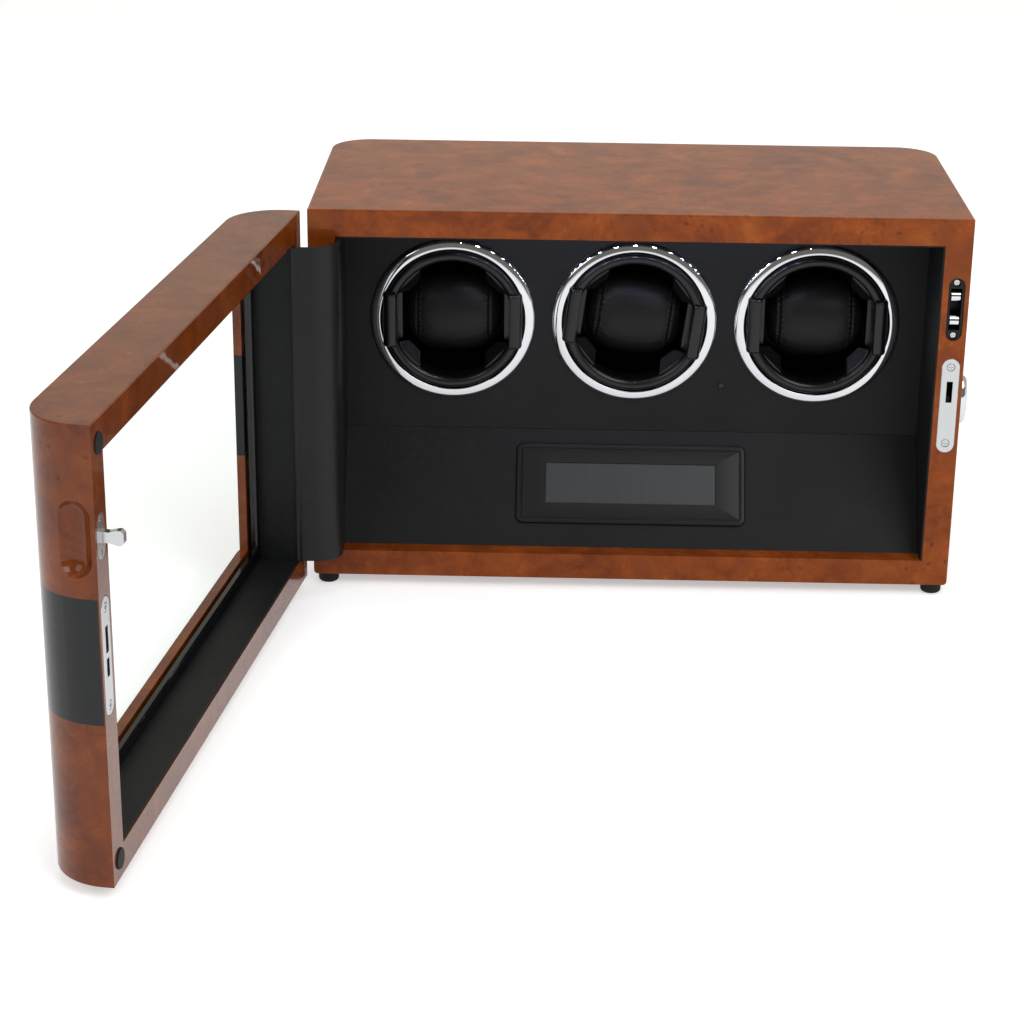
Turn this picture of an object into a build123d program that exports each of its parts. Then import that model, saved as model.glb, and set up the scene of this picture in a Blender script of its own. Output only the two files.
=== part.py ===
from build123d import *
import os
from math import acos, cos, pi, radians, sin, sqrt, tan

os.makedirs("parts", exist_ok=True)

# A table-top winder for three wristwatches: a lacquered wooden case with a glazed door hung on its
# left side. Millimetres. X runs to the right, Y from front to back and Z up, from the middle of
# the case's underside. The door is drawn shut, then swung to the angle that it stands open at.

# Case
CASE_WIDTH = 385.0
CASE_DEPTH = 186.0
CASE_HEIGHT = 228.0
WALL = 16.0
REAR_CORNER = 25.0
EDGE = 0.8
BASE_EDGE = 2.4
LINING = 1.0
FRONT = -CASE_DEPTH / 2
BACK = CASE_DEPTH / 2
SIDE = CASE_WIDTH / 2
INNER_X = SIDE - WALL
CEILING = CASE_HEIGHT - WALL
FOOT_RADIUS = 6.2
FOOT_HEIGHT = 6.2
FOOT_FRONT = (184.0, FRONT + 7.0)
FOOT_REAR = (172.0, BACK - 14.0)

# Rear cover and power inlet
SERVICE_HALF_WIDTH = 145.0
SERVICE_LOW = 34.0
SERVICE_HIGH = 194.0
COVER_LAP = 8.0
COVER_THICKNESS = 2.5
COVER_SCREW_X = (-149.0, -50.0, 50.0, 149.0)
INLET_X = -120.0
INLET_Z = 52.0
INLET_BORE = 2.75
INLET_MOUTH = 4.2
INLET_MOUTH_RADIUS = 3.4

# Faceplate, console and display
BOARD = 5.0
FACE = FRONT + 54.0
FOLD_Z = 77.5
CONSOLE_FOOT = FRONT + 12.0
DISPLAY_WIDTH = 140.5
DISPLAY_HEIGHT = 50.7
SCREEN_WIDTH = 104.5
SCREEN_HEIGHT = 25.8
DISPLAY_DOWN = 34.6
BEZEL_PROUD = 2.4
SENSOR = (54.3, 107.7)
SENSOR_RADIUS = 2.1

# Winding stations
STATION_PITCH = 110.4
STATION_Z = 147.5
STATIONS = (-STATION_PITCH, 0.0, STATION_PITCH)
CUP_TURNS = (0.0, 7.3, 0.0)
RING_FLANGE = 50.4
RING_DOME = 10.0
RING_BORE = 43.9
RING_TUBE = 46.4
RING_PROUD = 3.2
CUP_RADIUS = 46.2
CUP_WALL = 2.2
CUP_FRONT = FACE + 9.6
CUP_BACK = 16.0
HOLDER_RADIUS = 43.4
HOLDER_INNER = 36.4
HOLDER_PROUD = 1.6
OCTAGON = 30.0
OCTAGON_TAPER = 5.4
STRAP_GAP_HALF = 20.0
SIDE_GAP_HALF = 15.5
TAB_INNER = 34.4
TAB_OUTER = 43.3
TAB_HALF_HEIGHT = 17.2
TAB_BOW = 110.0
CHEEK_INNER = 31.0
CHEEK_THICKNESS = 3.2
PILLOW_HALF_WIDTH = 30.6
PILLOW_HALF_HEIGHT = 25.5
PILLOW_HALF_DEPTH = 19.0
PILLOW_CENTRE = FACE + 19.0

# Drive
MODULE = 1.0
GEAR_TEETH = 48
PINION_TEETH = 16
GEAR_CENTRES = MODULE * (GEAR_TEETH + PINION_TEETH) / 2 + 0.05
BACKLASH = 0.14
GEAR_FRONT = 22.0
GEAR_WIDTH = 5.0
PLATE_FRONT = 31.0
PLATE_THICKNESS = 2.0
AXLE_RADIUS = 4.0
BUSH_RADIUS = 6.0
MOTOR_SHAFT = 1.5
MOTOR_DROP = 38.0
GEARBOX_RADIUS = 18.0
RUNNING = 0.05

# Light strip under the case's top
LIGHT_HALF_LENGTH = 108.0
LIGHT_FRONT = FRONT + 20.0
LIGHT_WIDTH = 10.0

# Door
DOOR_DEPTH = 36.0
DOOR_GAP = 1.0
DOOR_CORNER = 30.0
DOOR_OPEN = 97.67
DOOR_BACK = FRONT - DOOR_GAP
DOOR_FRONT = DOOR_BACK - DOOR_DEPTH
WINDOW_INSET = 24.0
LIP = 5.5
GLASS = 2.5
BEAD = 3.5
HINGE_X = -SIDE - 2.8
HINGE_Y = FRONT - DOOR_GAP / 2
KNUCKLE = 2.5
PIN_RADIUS = 1.2
HINGE_LEAF = 1.2
HINGE_LENGTH = 40.0
HINGE_HEIGHTS = (48.0, 180.0)
COVER_BEND = 9.0

# Catch and lock, in the right-hand stile
STILE_X = SIDE - 7.6
CATCH_Z = 174.0
CATCH_WIDTH = 9.2
CATCH_HEIGHT = 37.6
CATCH_SCREW = 15.9
ROLLER_RADIUS = 3.5
ROLLER_Y = FRONT + 4.6
ROLLER_OFFSET = 7.4
ROLLER_TRAVEL = 1.2
TONGUE_LENGTH = 11.0
PLATE_WIDTH = 10.6
PLATE_HEIGHT = 58.4
LOCK_PLATE_Z = 115.0
LOCK_SCREWS = (91.9, 139.1)
SLOT_WIDTH = 3.6
CLAW_Y = FRONT + 7.0
CLAW_Z = 130.0
CLAW_INNER = 10.4
CLAW_OUTER = 13.4
CLAW_RETRACT = 88.0
PLUG_Y = FRONT + 15.0
PLUG_Z = 118.0
PLUG_RADIUS = 4.0
ESCUTCHEON_Z = 114.4
RECESS_HEIGHT = 38.6
RECESS_RADIUS = 9.0
RECESS_Z = 174.2


def block(x0, x1, y0, y1, z0, z1):
    """A box between two corners."""
    middle = Pos((x0 + x1) / 2, (y0 + y1) / 2, (z0 + z1) / 2)
    return middle * Box(x1 - x0, y1 - y0, z1 - z0)


def rod_x(y, z, x0, x1, radius):
    return Pos((x0 + x1) / 2, y, z) * Rot(0, 90, 0) * Cylinder(radius, x1 - x0)


def rod_y(x, z, y0, y1, radius):
    return Pos(x, (y0 + y1) / 2, z) * Rot(90, 0, 0) * Cylinder(radius, y1 - y0)


def rod_z(x, y, z0, z1, radius):
    return Pos(x, y, (z0 + z1) / 2) * Cylinder(radius, z1 - z0)


def oblong_y(x, z, width, height, y0, y1):
    """An upright bar with round ends, run along Y."""
    reach = (height - width) / 2
    bar = block(x - width / 2, x + width / 2, y0, y1, z - reach, z + reach)
    return bar + rod_y(x, z - reach, y0, y1, width / 2) + rod_y(x, z + reach, y0, y1, width / 2)


def group(solids):
    return Compound(children=list(solids))


def upright_edges(solid, y_group, x_group=None):
    edges = solid.edges().filter_by(Axis.Z).group_by(Axis.Y)[y_group]
    return edges if x_group is None else edges.group_by(Axis.X)[x_group]


def footprint(inset=0.0):
    """The case's outline from above, square in front and rounded behind, or its inner outline."""
    depth = CASE_DEPTH - inset
    plan = Pos(0, FRONT + depth / 2) * Rectangle(CASE_WIDTH - 2 * inset, depth)
    return fillet(plan.vertices().group_by(Axis.Y)[-1], REAR_CORNER - inset)


def wood_screw(x, z, y_head, y_tip, head_radius):
    """A pan-head screw in the front face, driven towards +Y, or in the back face, towards -Y."""
    way = 1 if y_tip > y_head else -1
    neck = y_head + way * 1.2
    head = rod_y(x, z, min(y_head, neck), max(y_head, neck), head_radius)
    head = fillet(head.edges().group_by(Axis.Y)[0 if way > 0 else -1], 0.6)
    slot = block(x - 1.4, x + 1.4, y_head - 0.5, y_head + 0.5, z - 0.3, z + 0.3)
    cross = block(x - 0.3, x + 0.3, y_head - 0.5, y_head + 0.5, z - 1.4, z + 1.4)
    return head - slot - cross + rod_y(x, z, min(neck, y_tip), max(neck, y_tip), 1.2)


def screw_seat(x, z, y_head, y_tip, head_radius):
    """The space that such a screw fills, with a little room round the head."""
    way = 1 if y_tip > y_head else -1
    neck = y_head + way * 1.2
    far = y_tip + way * 0.4
    seat = rod_y(x, z, min(y_head - way, neck), max(y_head - way, neck), head_radius + 0.05)
    return seat + rod_y(x, z, min(neck, far), max(neck, far), 1.2)


CASE_SCREWS = [(STILE_X, z, FRONT - 0.4, FRONT + 11.0, 2.4) for z in LOCK_SCREWS]
CASE_SCREWS += [(STILE_X, CATCH_Z + s * CATCH_SCREW, FRONT + 2.0, FRONT + 15.6, 2.1) for s in (-1, 1)]
COVER_SCREWS = [
    (x, z, BACK - 0.3, BACK - 11.0, 2.8)
    for x in COVER_SCREW_X
    for z in (SERVICE_LOW - COVER_LAP / 2, SERVICE_HIGH + COVER_LAP / 2)
]
DOOR_SCREWS = [(STILE_X, z, DOOR_BACK + 0.2, DOOR_BACK - 9.0, 2.4) for z in (91.3, 139.6)]
DOOR_SCREWS += [(STILE_X, CATCH_Z + s * 8.4, DOOR_BACK, DOOR_BACK - 8.0, 1.7) for s in (-1, 1)]


def case_top():
    slab = Pos(0, 0, CEILING) * extrude(footprint(), WALL)
    rim = slab.faces().sort_by(Axis.Z)[-1].edges()
    return fillet(rim + upright_edges(slab, 0), EDGE)


def case_bottom():
    slab = extrude(footprint(), WALL)
    rim = slab.faces().sort_by(Axis.Z)[0].edges().sort_by(Axis.Y)
    slab = fillet(rim[1:], BASE_EDGE)
    front_rim = slab.edges().filter_by(Axis.X).group_by(Axis.Z)[0].sort_by(Axis.Y)[0]
    return fillet(upright_edges(slab, 0) + [front_rim], EDGE)


def case_walls():
    """The left side, the right side and the back, cut from one bent wall."""
    wall = Pos(0, 0, WALL) * extrude(footprint() - footprint(WALL), CEILING - WALL)
    split = SIDE - REAR_CORNER
    reach = CASE_WIDTH
    left = wall & block(-reach, -split, -reach, reach, 0, reach)
    right = wall & block(split, reach, -reach, reach, 0, reach)
    back = wall & block(-split, split, 0, reach, 0, reach)
    left = fillet(upright_edges(left, 0, 0), EDGE)
    right = fillet(upright_edges(right, 0, -1), EDGE)
    return cut_left(left), cut_right(right), cut_back(back)


def cut_left(wall):
    for z in HINGE_HEIGHTS:
        half = HINGE_LENGTH / 2 + 0.2
        wall -= block(-SIDE - 1, -SIDE + 11.7, FRONT - 1, FRONT + 0.9, z - half, z + half)
    return wall


def cut_right(wall):
    wall -= oblong_y(STILE_X, CATCH_Z, CATCH_WIDTH + 0.4, CATCH_HEIGHT + 0.4, FRONT - 1, FRONT + 14)
    wall -= oblong_y(STILE_X, LOCK_PLATE_Z, PLATE_WIDTH + 0.2, PLATE_HEIGHT + 0.2, FRONT - 1, FRONT + 1.3)
    wall -= block(STILE_X - 4.3, STILE_X + 4.3, FRONT, FRONT + 28, 95.7, 135.8)
    wall -= rod_x(PLUG_Y, PLUG_Z, STILE_X, SIDE + 1, PLUG_RADIUS + 0.6)
    for screw in CASE_SCREWS:
        wall -= screw_seat(*screw)
    return wall


def cut_back(wall):
    half = SERVICE_HALF_WIDTH
    wall -= block(-half, half, 0, BACK + 1, SERVICE_LOW, SERVICE_HIGH)
    lap = COVER_LAP + 0.3
    floor = BACK - COVER_THICKNESS - 0.1
    wall -= block(-half - lap, half + lap, floor, BACK + 1, SERVICE_LOW - lap, SERVICE_HIGH + lap)
    for screw in COVER_SCREWS:
        wall -= screw_seat(*screw)
    return wall


def rear_cover():
    half = SERVICE_HALF_WIDTH + COVER_LAP
    low, high = SERVICE_LOW - COVER_LAP, SERVICE_HIGH + COVER_LAP
    plate = block(-half, half, BACK - COVER_THICKNESS, BACK, low, high)
    plate = fillet(plate.edges().filter_by(Axis.Y), 3.0)
    for screw in COVER_SCREWS:
        plate -= screw_seat(*screw)
    return plate - rod_y(INLET_X, INLET_Z, 0, BACK + 1, 5.6)


def power_inlet():
    """A panel-mounted barrel socket, with its flange outside and its nut inside the cover."""
    inner = BACK - COVER_THICKNESS
    flange = rod_y(INLET_X, INLET_Z, BACK, BACK + 1.6, 7.2)
    flange = chamfer(flange.edges().group_by(Axis.Y)[-1], 0.6)
    body = rod_y(INLET_X, INLET_Z, inner - 11, BACK, 5.5)
    nut = Plane.XZ.offset(-inner) * Pos(INLET_X, INLET_Z) * RegularPolygon(8.0, 6)
    body += flange + extrude(nut, 2.5)
    mouth_floor = BACK + 1.6 - INLET_MOUTH
    body -= rod_y(INLET_X, INLET_Z, mouth_floor, BACK + 3, INLET_MOUTH_RADIUS)
    body -= rod_y(INLET_X, INLET_Z, inner - 7, BACK, INLET_BORE)
    return body + rod_y(INLET_X, INLET_Z, inner - 8, mouth_floor - 0.5, 1.0)


def feet():
    spots = [(s * x, y) for x, y in (FOOT_FRONT, FOOT_REAR) for s in (-1, 1)]
    pads = []
    for x, y in spots:
        pad = rod_z(x, y, -FOOT_HEIGHT, 0, FOOT_RADIUS)
        pads.append(fillet(pad.edges().group_by(Axis.Z)[0], 2.0))
    return group(pads)


def case_lining():
    """Black leatherette on both sides and the ceiling, from the opening back to the faceplate."""
    y0, y1 = FRONT + 0.4, FACE - 0.1
    inner = INNER_X - LINING
    sides = [block(min(s * INNER_X, s * inner), max(s * INNER_X, s * inner), y0, y1, WALL, CEILING)
             for s in (-1, 1)]
    return sides[0] + sides[1] + block(-inner, inner, y0, y1, CEILING - LINING, CEILING)


def faceplate():
    board = block(-INNER_X + 0.3, INNER_X - 0.3, FACE, FACE + BOARD, FOLD_Z + 0.1, CEILING - 0.2)
    for x in STATIONS:
        board -= rod_y(x, STATION_Z, FACE - 1, FACE + BOARD + 1, RING_TUBE + 0.1)
    return board - rod_y(*SENSOR, FACE - 1, FACE + BOARD + 1, SENSOR_RADIUS + 0.1)


SLOPE_RUN = FACE - CONSOLE_FOOT
SLOPE_RISE = FOLD_Z - WALL
SLOPE = sqrt(SLOPE_RUN**2 + SLOPE_RISE**2)
CONSOLE = Plane(origin=(0, FACE, FOLD_Z), x_dir=(1, 0, 0), z_dir=(0, -SLOPE_RISE, SLOPE_RUN))


def on_console(x0, x1, down0, down1, out0, out1):
    """A box on the sloping console: across, down the slope from the fold, and out from its face."""
    return CONSOLE * block(x0, x1, -down1, -down0, out0, out1)


def console():
    half = INNER_X - LINING - 0.2
    board = on_console(-half, half, 0.1, SLOPE + 9, -BOARD, 0)
    board &= block(-SIDE, SIDE, FRONT, BACK, WALL + 0.1, CASE_HEIGHT)
    low, high = DISPLAY_DOWN - SCREEN_HEIGHT / 2 - 1, DISPLAY_DOWN + SCREEN_HEIGHT / 2 + 1
    return board - on_console(-SCREEN_WIDTH / 2 - 1, SCREEN_WIDTH / 2 + 1, low, high, -9, 1)


def display_bezel():
    face = CONSOLE * Pos(0, -DISPLAY_DOWN)
    plate = face * extrude(RectangleRounded(DISPLAY_WIDTH, DISPLAY_HEIGHT, 4.0), BEZEL_PROUD)
    out = CONSOLE.z_dir
    rim = plate.faces().sort_by(Axis((0, 0, 0), out))[-1].edges()
    plate = chamfer(rim, 1.4)
    return plate - face * Box(SCREEN_WIDTH, SCREEN_HEIGHT, 20)


def display_screen():
    half_width, half_height = SCREEN_WIDTH / 2 - 0.1, SCREEN_HEIGHT / 2 - 0.1
    low, high = DISPLAY_DOWN - half_height, DISPLAY_DOWN + half_height
    glass = on_console(-half_width, half_width, low, high, -3.5, BEZEL_PROUD - 0.9)
    module = on_console(-half_width + 2, half_width - 2, low + 1.5, high - 1.5, -8.5, -3.5)
    return glass + module


def control_board():
    """The circuit board behind the console, on four spacers, with its larger components."""
    board = on_console(-60, 60, DISPLAY_DOWN - 22, DISPLAY_DOWN + 22, -18.6, -17)
    for x in (-56, 56):
        for down in (DISPLAY_DOWN - 18, DISPLAY_DOWN + 18):
            board += CONSOLE * Pos(x, -down, -11) * Cylinder(2.5, 12)
    for x, down, width, height, tall in ((-30, 26, 18, 12, 9), (2, 28, 12, 12, 3), (34, 24, 14, 9, 7)):
        chip = on_console(x - width / 2, x + width / 2, down - height / 2, down + height / 2, -18.6 - tall, -18.6)
        board += chip
    return board


def sensor():
    eye = rod_y(*SENSOR, FACE - 0.9, FACE + 6, SENSOR_RADIUS)
    return fillet(eye.edges().group_by(Axis.Y)[0], 0.8)


def light_strip():
    top = CEILING - LINING
    rail = block(-LIGHT_HALF_LENGTH, LIGHT_HALF_LENGTH, LIGHT_FRONT, LIGHT_FRONT + LIGHT_WIDTH, top - 2.2, top)
    groove = block(-LIGHT_HALF_LENGTH + 3, LIGHT_HALF_LENGTH - 3, LIGHT_FRONT + 1.2,
                   LIGHT_FRONT + LIGHT_WIDTH - 1.2, top - 3, top - 1)
    return rail - groove


def turned(points, x, z):
    """A solid turned about the Y axis through (x, z), from (radius, y) points of its half section."""
    section = Plane.XY * make_face(Polyline(*points, close=True))
    return Pos(x, 0, z) * revolve(section, Axis.Y)


def ring(x):
    """The trim ring of a cup: its front is domed, highest at the bore, and its tube lines the faceplate's hole."""
    crest = RING_BORE - 1
    middle = FACE - RING_PROUD + RING_DOME
    points = []
    for radius in (RING_BORE, RING_BORE + 1.7, RING_BORE + 3.3, RING_BORE + 4.7, RING_FLANGE - 0.5):
        points.append((radius, middle - sqrt(RING_DOME ** 2 - (radius - crest) ** 2)))
    points += [
        (RING_FLANGE, FACE), (RING_TUBE, FACE), (RING_TUBE, CUP_FRONT - 0.6), (RING_BORE, CUP_FRONT - 0.6),
    ]
    return turned(points, x, STATION_Z)


def cup(x):
    inner = CUP_RADIUS - CUP_WALL
    floor = CUP_BACK - CUP_WALL
    corner = 7.0
    points = [
        (0, floor), (inner - corner, floor), (inner, floor - corner), (inner, CUP_FRONT),
        (CUP_RADIUS, CUP_FRONT), (CUP_RADIUS, CUP_BACK - corner), (CUP_RADIUS - corner, CUP_BACK), (0, CUP_BACK),
    ]
    return turned(points, x, STATION_Z)


def octagon_hole(x, y_wide, y_narrow, wide, narrow):
    """A tapering eight-sided hole; the sizes are from the axis to a flat."""
    turn = 360 / 16
    corner = 1 / cos(radians(turn))
    faces = []
    for y, size in ((y_wide, wide), (y_narrow, narrow)):
        plane = Plane(origin=(x, y, STATION_Z), x_dir=(1, 0, 0), z_dir=(0, -1, 0))
        faces.append(plane * Rot(0, 0, turn) * RegularPolygon(size * corner, 8))
    return loft(faces)


def holder(x):
    """The pull-out frame of a cup: a rounded ring, four sloping facets in its throat, two grips, two cheeks."""
    front = FACE - RING_PROUD - HOLDER_PROUD
    throat = FACE + 8
    points = [
        (HOLDER_INNER, front + 2.8), (HOLDER_INNER + 0.9, front + 0.9), (HOLDER_INNER + 2.7, front),
        (HOLDER_RADIUS - 2.7, front), (HOLDER_RADIUS - 0.9, front + 0.9), (HOLDER_RADIUS, front + 2.8),
        (HOLDER_RADIUS, FACE + 15), (HOLDER_RADIUS - 2, FACE + 15), (HOLDER_RADIUS - 2, throat),
        (HOLDER_INNER, throat),
    ]
    frame = turned(points, x, STATION_Z)

    # The facets stop short of the strap above and below, and of the grips at the sides
    facet_front, facet_back = FACE - 2, FACE + 5
    facets = rod_y(x, STATION_Z, facet_front, facet_back, HOLDER_INNER + 1)
    facets -= octagon_hole(x, facet_front - 0.01, facet_back + 0.01, OCTAGON + OCTAGON_TAPER, OCTAGON)
    facets -= block(x - STRAP_GAP_HALF, x + STRAP_GAP_HALF, FRONT, 0, STATION_Z - 50, STATION_Z + 50)
    facets -= block(x - 50, x + 50, FRONT, 0, STATION_Z - SIDE_GAP_HALF, STATION_Z + SIDE_GAP_HALF)
    frame += facets

    # A grip's front is flat by the pillow and rolls back towards the trim ring
    grip = [(TAB_INNER - 4, front + 1.2), (TAB_INNER - 4, front - 2.6), (TAB_OUTER - 5.1, front - 2.6)]
    grip += [(TAB_OUTER - 3.3, front - 2.3), (TAB_OUTER - 1.7, front - 1.5), (TAB_OUTER - 0.5, front - 0.3)]
    grip += [(TAB_OUTER, front + 1.2)]
    for side in (-1, 1):
        bowed = turned([(TAB_BOW - TAB_OUTER + along, y) for along, y in grip],
                       x + side * (TAB_OUTER - TAB_BOW), STATION_Z)
        near, far = sorted((side * TAB_INNER, side * (TAB_OUTER + 1)))
        low, high = STATION_Z - TAB_HALF_HEIGHT, STATION_Z + TAB_HALF_HEIGHT
        frame += bowed & block(x + near, x + far, FRONT, FACE, low, high)
        low, high = STATION_Z - SIDE_GAP_HALF + 0.5, STATION_Z + SIDE_GAP_HALF - 0.5
        near, far = sorted((side * CHEEK_INNER, side * (HOLDER_INNER + 1)))
        frame += block(x + near, x + far, throat - 2, throat + 1, low, high)
        near, far = sorted((side * CHEEK_INNER, side * (CHEEK_INNER + CHEEK_THICKNESS)))
        frame += block(x + near, x + far, throat - 2, FACE + 43, low, high)
    return frame


def pillow(x):
    """The cushion that a strap is closed round: an oval roll, fuller in the middle than at its ends."""
    half = PILLOW_HALF_WIDTH
    stations = ((-half, 0.78), (-0.8 * half, 0.955), (0, 1.0), (0.8 * half, 0.955), (half, 0.78))
    sections = []
    for along, size in stations:
        plane = Plane(origin=(x + along, PILLOW_CENTRE, STATION_Z), x_dir=(0, 1, 0), z_dir=(1, 0, 0))
        sections.append(plane * Ellipse(PILLOW_HALF_DEPTH * size, PILLOW_HALF_HEIGHT * size))
    return loft(sections)


def gear_face(teeth):
    """A spur gear's outline, with straight chords along each involute flank."""
    pressure = radians(20)
    pitch = teeth * MODULE / 2
    base, root, tip = pitch * cos(pressure), pitch - 1.25 * MODULE, pitch + MODULE
    at_pitch = (pi * MODULE / 2 - BACKLASH) / (2 * pitch)
    flank = []
    for radius in (max(base, root), (pitch + max(base, root)) / 2, pitch + MODULE * 0.4, tip):
        angle = acos(base / radius)
        flank.append((radius, at_pitch + tan(pressure) - pressure - tan(angle) + angle))
    if base > root:
        flank.insert(0, (root, flank[0][1]))
    points = []
    for tooth in range(teeth):
        middle = 2 * pi * tooth / teeth
        points += [(r * cos(middle - a), r * sin(middle - a)) for r, a in flank]
        points += [(r * cos(middle + a), r * sin(middle + a)) for r, a in reversed(flank)]
    return make_face(Polyline(*points, close=True))


def toothed_wheel(teeth, x, z, turn):
    plane = Plane(origin=(x, GEAR_FRONT, z), x_dir=(1, 0, 0), z_dir=(0, -1, 0))
    return plane * Rot(0, 0, turn) * extrude(gear_face(teeth), -GEAR_WIDTH)


def drive_gear(x):
    """The large gear on the back of a cup, moulded with its hub and axle."""
    z = STATION_Z
    wheel = toothed_wheel(GEAR_TEETH, x, z, 0)
    web = rod_y(x, z, GEAR_FRONT - 1, GEAR_FRONT + 1.4, 19.5) - rod_y(x, z, GEAR_FRONT - 2, GEAR_FRONT + 2, 9)
    dish = rod_y(x, z, GEAR_FRONT + 3.6, GEAR_FRONT + 6, 19.5) - rod_y(x, z, GEAR_FRONT, GEAR_FRONT + 7, 9)
    wheel = wheel - web - dish
    wheel += rod_y(x, z, CUP_BACK, GEAR_FRONT, 9)
    return wheel + rod_y(x, z, GEAR_FRONT + GEAR_WIDTH, PLATE_FRONT + PLATE_THICKNESS + 6, AXLE_RADIUS)


def pinion(x):
    z = STATION_Z - GEAR_CENTRES
    wheel = toothed_wheel(PINION_TEETH, x, z, 180 / PINION_TEETH)
    back = PLATE_FRONT + PLATE_THICKNESS
    return wheel + rod_y(x, z, GEAR_FRONT - 0.8, back + 3.5, MOTOR_SHAFT)


def motor_plate():
    """The bent steel plate that carries the three cups and their motors, screwed to both sides."""
    half = INNER_X - 0.5
    back = PLATE_FRONT + PLATE_THICKNESS
    plate = block(-half, half, PLATE_FRONT, back, WALL + 1, CEILING - 3)
    for x0 in (-half, half - 2):
        plate += block(x0, x0 + 2, back, back + 14, WALL + 1, CEILING - 3)
    for x in STATIONS:
        plate -= rod_y(x, STATION_Z, 0, BACK, BUSH_RADIUS)
        plate -= rod_y(x, STATION_Z - GEAR_CENTRES, 0, BACK, 4.5)
    return plate


def bushes():
    rings = []
    front = PLATE_FRONT - 1.5
    for x in STATIONS:
        bush = rod_y(x, STATION_Z, PLATE_FRONT, PLATE_FRONT + 7.5, BUSH_RADIUS)
        bush += rod_y(x, STATION_Z, front, PLATE_FRONT, 8.5)
        rings.append(bush - rod_y(x, STATION_Z, 0, BACK, AXLE_RADIUS + RUNNING))
    return group(rings)


def motor(x):
    """A gearbox with its shaft off centre, its two ears and a smaller motor can behind it."""
    z = STATION_Z - MOTOR_DROP
    front = PLATE_FRONT + PLATE_THICKNESS
    body = rod_y(x, z, front, front + 14, GEARBOX_RADIUS)
    body = chamfer(body.edges().group_by(Axis.Y)[-1], 1.0)
    body += rod_y(x, z, front + 14, front + 28, 12)
    body += rod_y(x, z, front + 28, front + 30, 4)
    for side in (-1, 1):
        ear = rod_y(x + side * 21, z, front, front + 1.5, 4) + block(
            x + min(side * 12, side * 21), x + max(side * 12, side * 21), front, front + 1.5, z - 4, z + 4)
        body += ear - rod_y(x + side * 21, z, 0, BACK, 1.7)
        body += block(x + side * 5 - 0.4, x + side * 5 + 0.4, front + 28, front + 33, z - 8, z - 5.5)
    return body - rod_y(x, STATION_Z - GEAR_CENTRES, 0, front + 4.5, MOTOR_SHAFT + RUNNING)


def catch_housing():
    y0 = FRONT + 0.8
    shell = oblong_y(STILE_X, CATCH_Z, CATCH_WIDTH, CATCH_HEIGHT, y0, FRONT + 13.4)
    shell -= block(STILE_X - 3.3, STILE_X + 3.3, FRONT, FRONT + 12, CATCH_Z - 12.6, CATCH_Z + 12.6)
    for side in (-1, 1):
        z = CATCH_Z + side * CATCH_SCREW
        shell -= rod_y(STILE_X, z, FRONT, FRONT + 3.2, 2.3) + rod_y(STILE_X, z, FRONT, BACK, 1.2)
        near, far = CATCH_Z + side * ROLLER_OFFSET, CATCH_Z + side * (ROLLER_OFFSET + ROLLER_TRAVEL)
        groove = rod_x(ROLLER_Y, near, STILE_X - 6, STILE_X + 6, 1.08)
        groove += rod_x(ROLLER_Y, far, STILE_X - 6, STILE_X + 6, 1.08)
        low, high = sorted((near, far))
        groove += block(STILE_X - 6, STILE_X + 6, ROLLER_Y - 1.08, ROLLER_Y + 1.08, low, high)
        shell -= groove
    return shell


def catch_roller(side):
    z = CATCH_Z + side * ROLLER_OFFSET
    roller = rod_x(ROLLER_Y, z, STILE_X - 3, STILE_X + 3, ROLLER_RADIUS)
    roller = chamfer(roller.edges().group_by(Axis.X)[0] + roller.edges().group_by(Axis.X)[-1], 0.4)
    return roller + rod_x(ROLLER_Y, z, STILE_X - 4.3, STILE_X + 4.3, 1.0)


def lock_plate():
    plate = oblong_y(STILE_X, LOCK_PLATE_Z, PLATE_WIDTH, PLATE_HEIGHT, FRONT - 0.4, FRONT + 1.2)
    plate = chamfer(plate.faces().sort_by(Axis.Y)[0].edges(), 0.3)
    plate -= block(STILE_X - SLOT_WIDTH / 2, STILE_X + SLOT_WIDTH / 2, FRONT - 1, FRONT + 2, 117.2, 130.2)
    for z in LOCK_SCREWS:
        plate -= rod_y(STILE_X, z, FRONT - 1, FRONT + 0.8, 2.5) + rod_y(STILE_X, z, FRONT, BACK, 1.3)
    return plate


def lock_case():
    """The thin box behind the lock plate, with the claw's pivot across it."""
    x0, x1 = STILE_X - 4.0, STILE_X + 4.0
    y0, y1 = FRONT + 1.2, FRONT + 27.4
    z0, z1 = 96.0, 135.5
    shell = block(x0, x1, y0, y1, z0, z1)
    skin = 0.7
    shell -= block(x0 + skin, x1 - skin, y0 + skin, y1 - skin, z0 + skin, z1 - skin)
    shell -= block(STILE_X - SLOT_WIDTH / 2, STILE_X + SLOT_WIDTH / 2, y0 - 1, y0 + 1, 117.2, 130.2)
    shell -= rod_x(PLUG_Y, PLUG_Z, STILE_X, x1 + 1, PLUG_RADIUS + RUNNING)
    return shell + rod_x(CLAW_Y, CLAW_Z, x0 + skin / 2, x1 - skin / 2, 1.4)


def arc_band(inner, outer, start, end, x0, x1):
    """Part of a flat ring about the claw's pivot; angles run from +Y towards +Z."""
    plane = Plane(origin=(x0, CLAW_Y, CLAW_Z), x_dir=(0, 1, 0), z_dir=(1, 0, 0))
    far = CenterArc((0, 0), outer, start, end - start)
    near = CenterArc((0, 0), inner, start, end - start)
    edges = far + near + Line(far @ 0, near @ 0) + Line(far @ 1, near @ 1)
    return extrude(plane * make_face(edges), x1 - x0)


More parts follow.
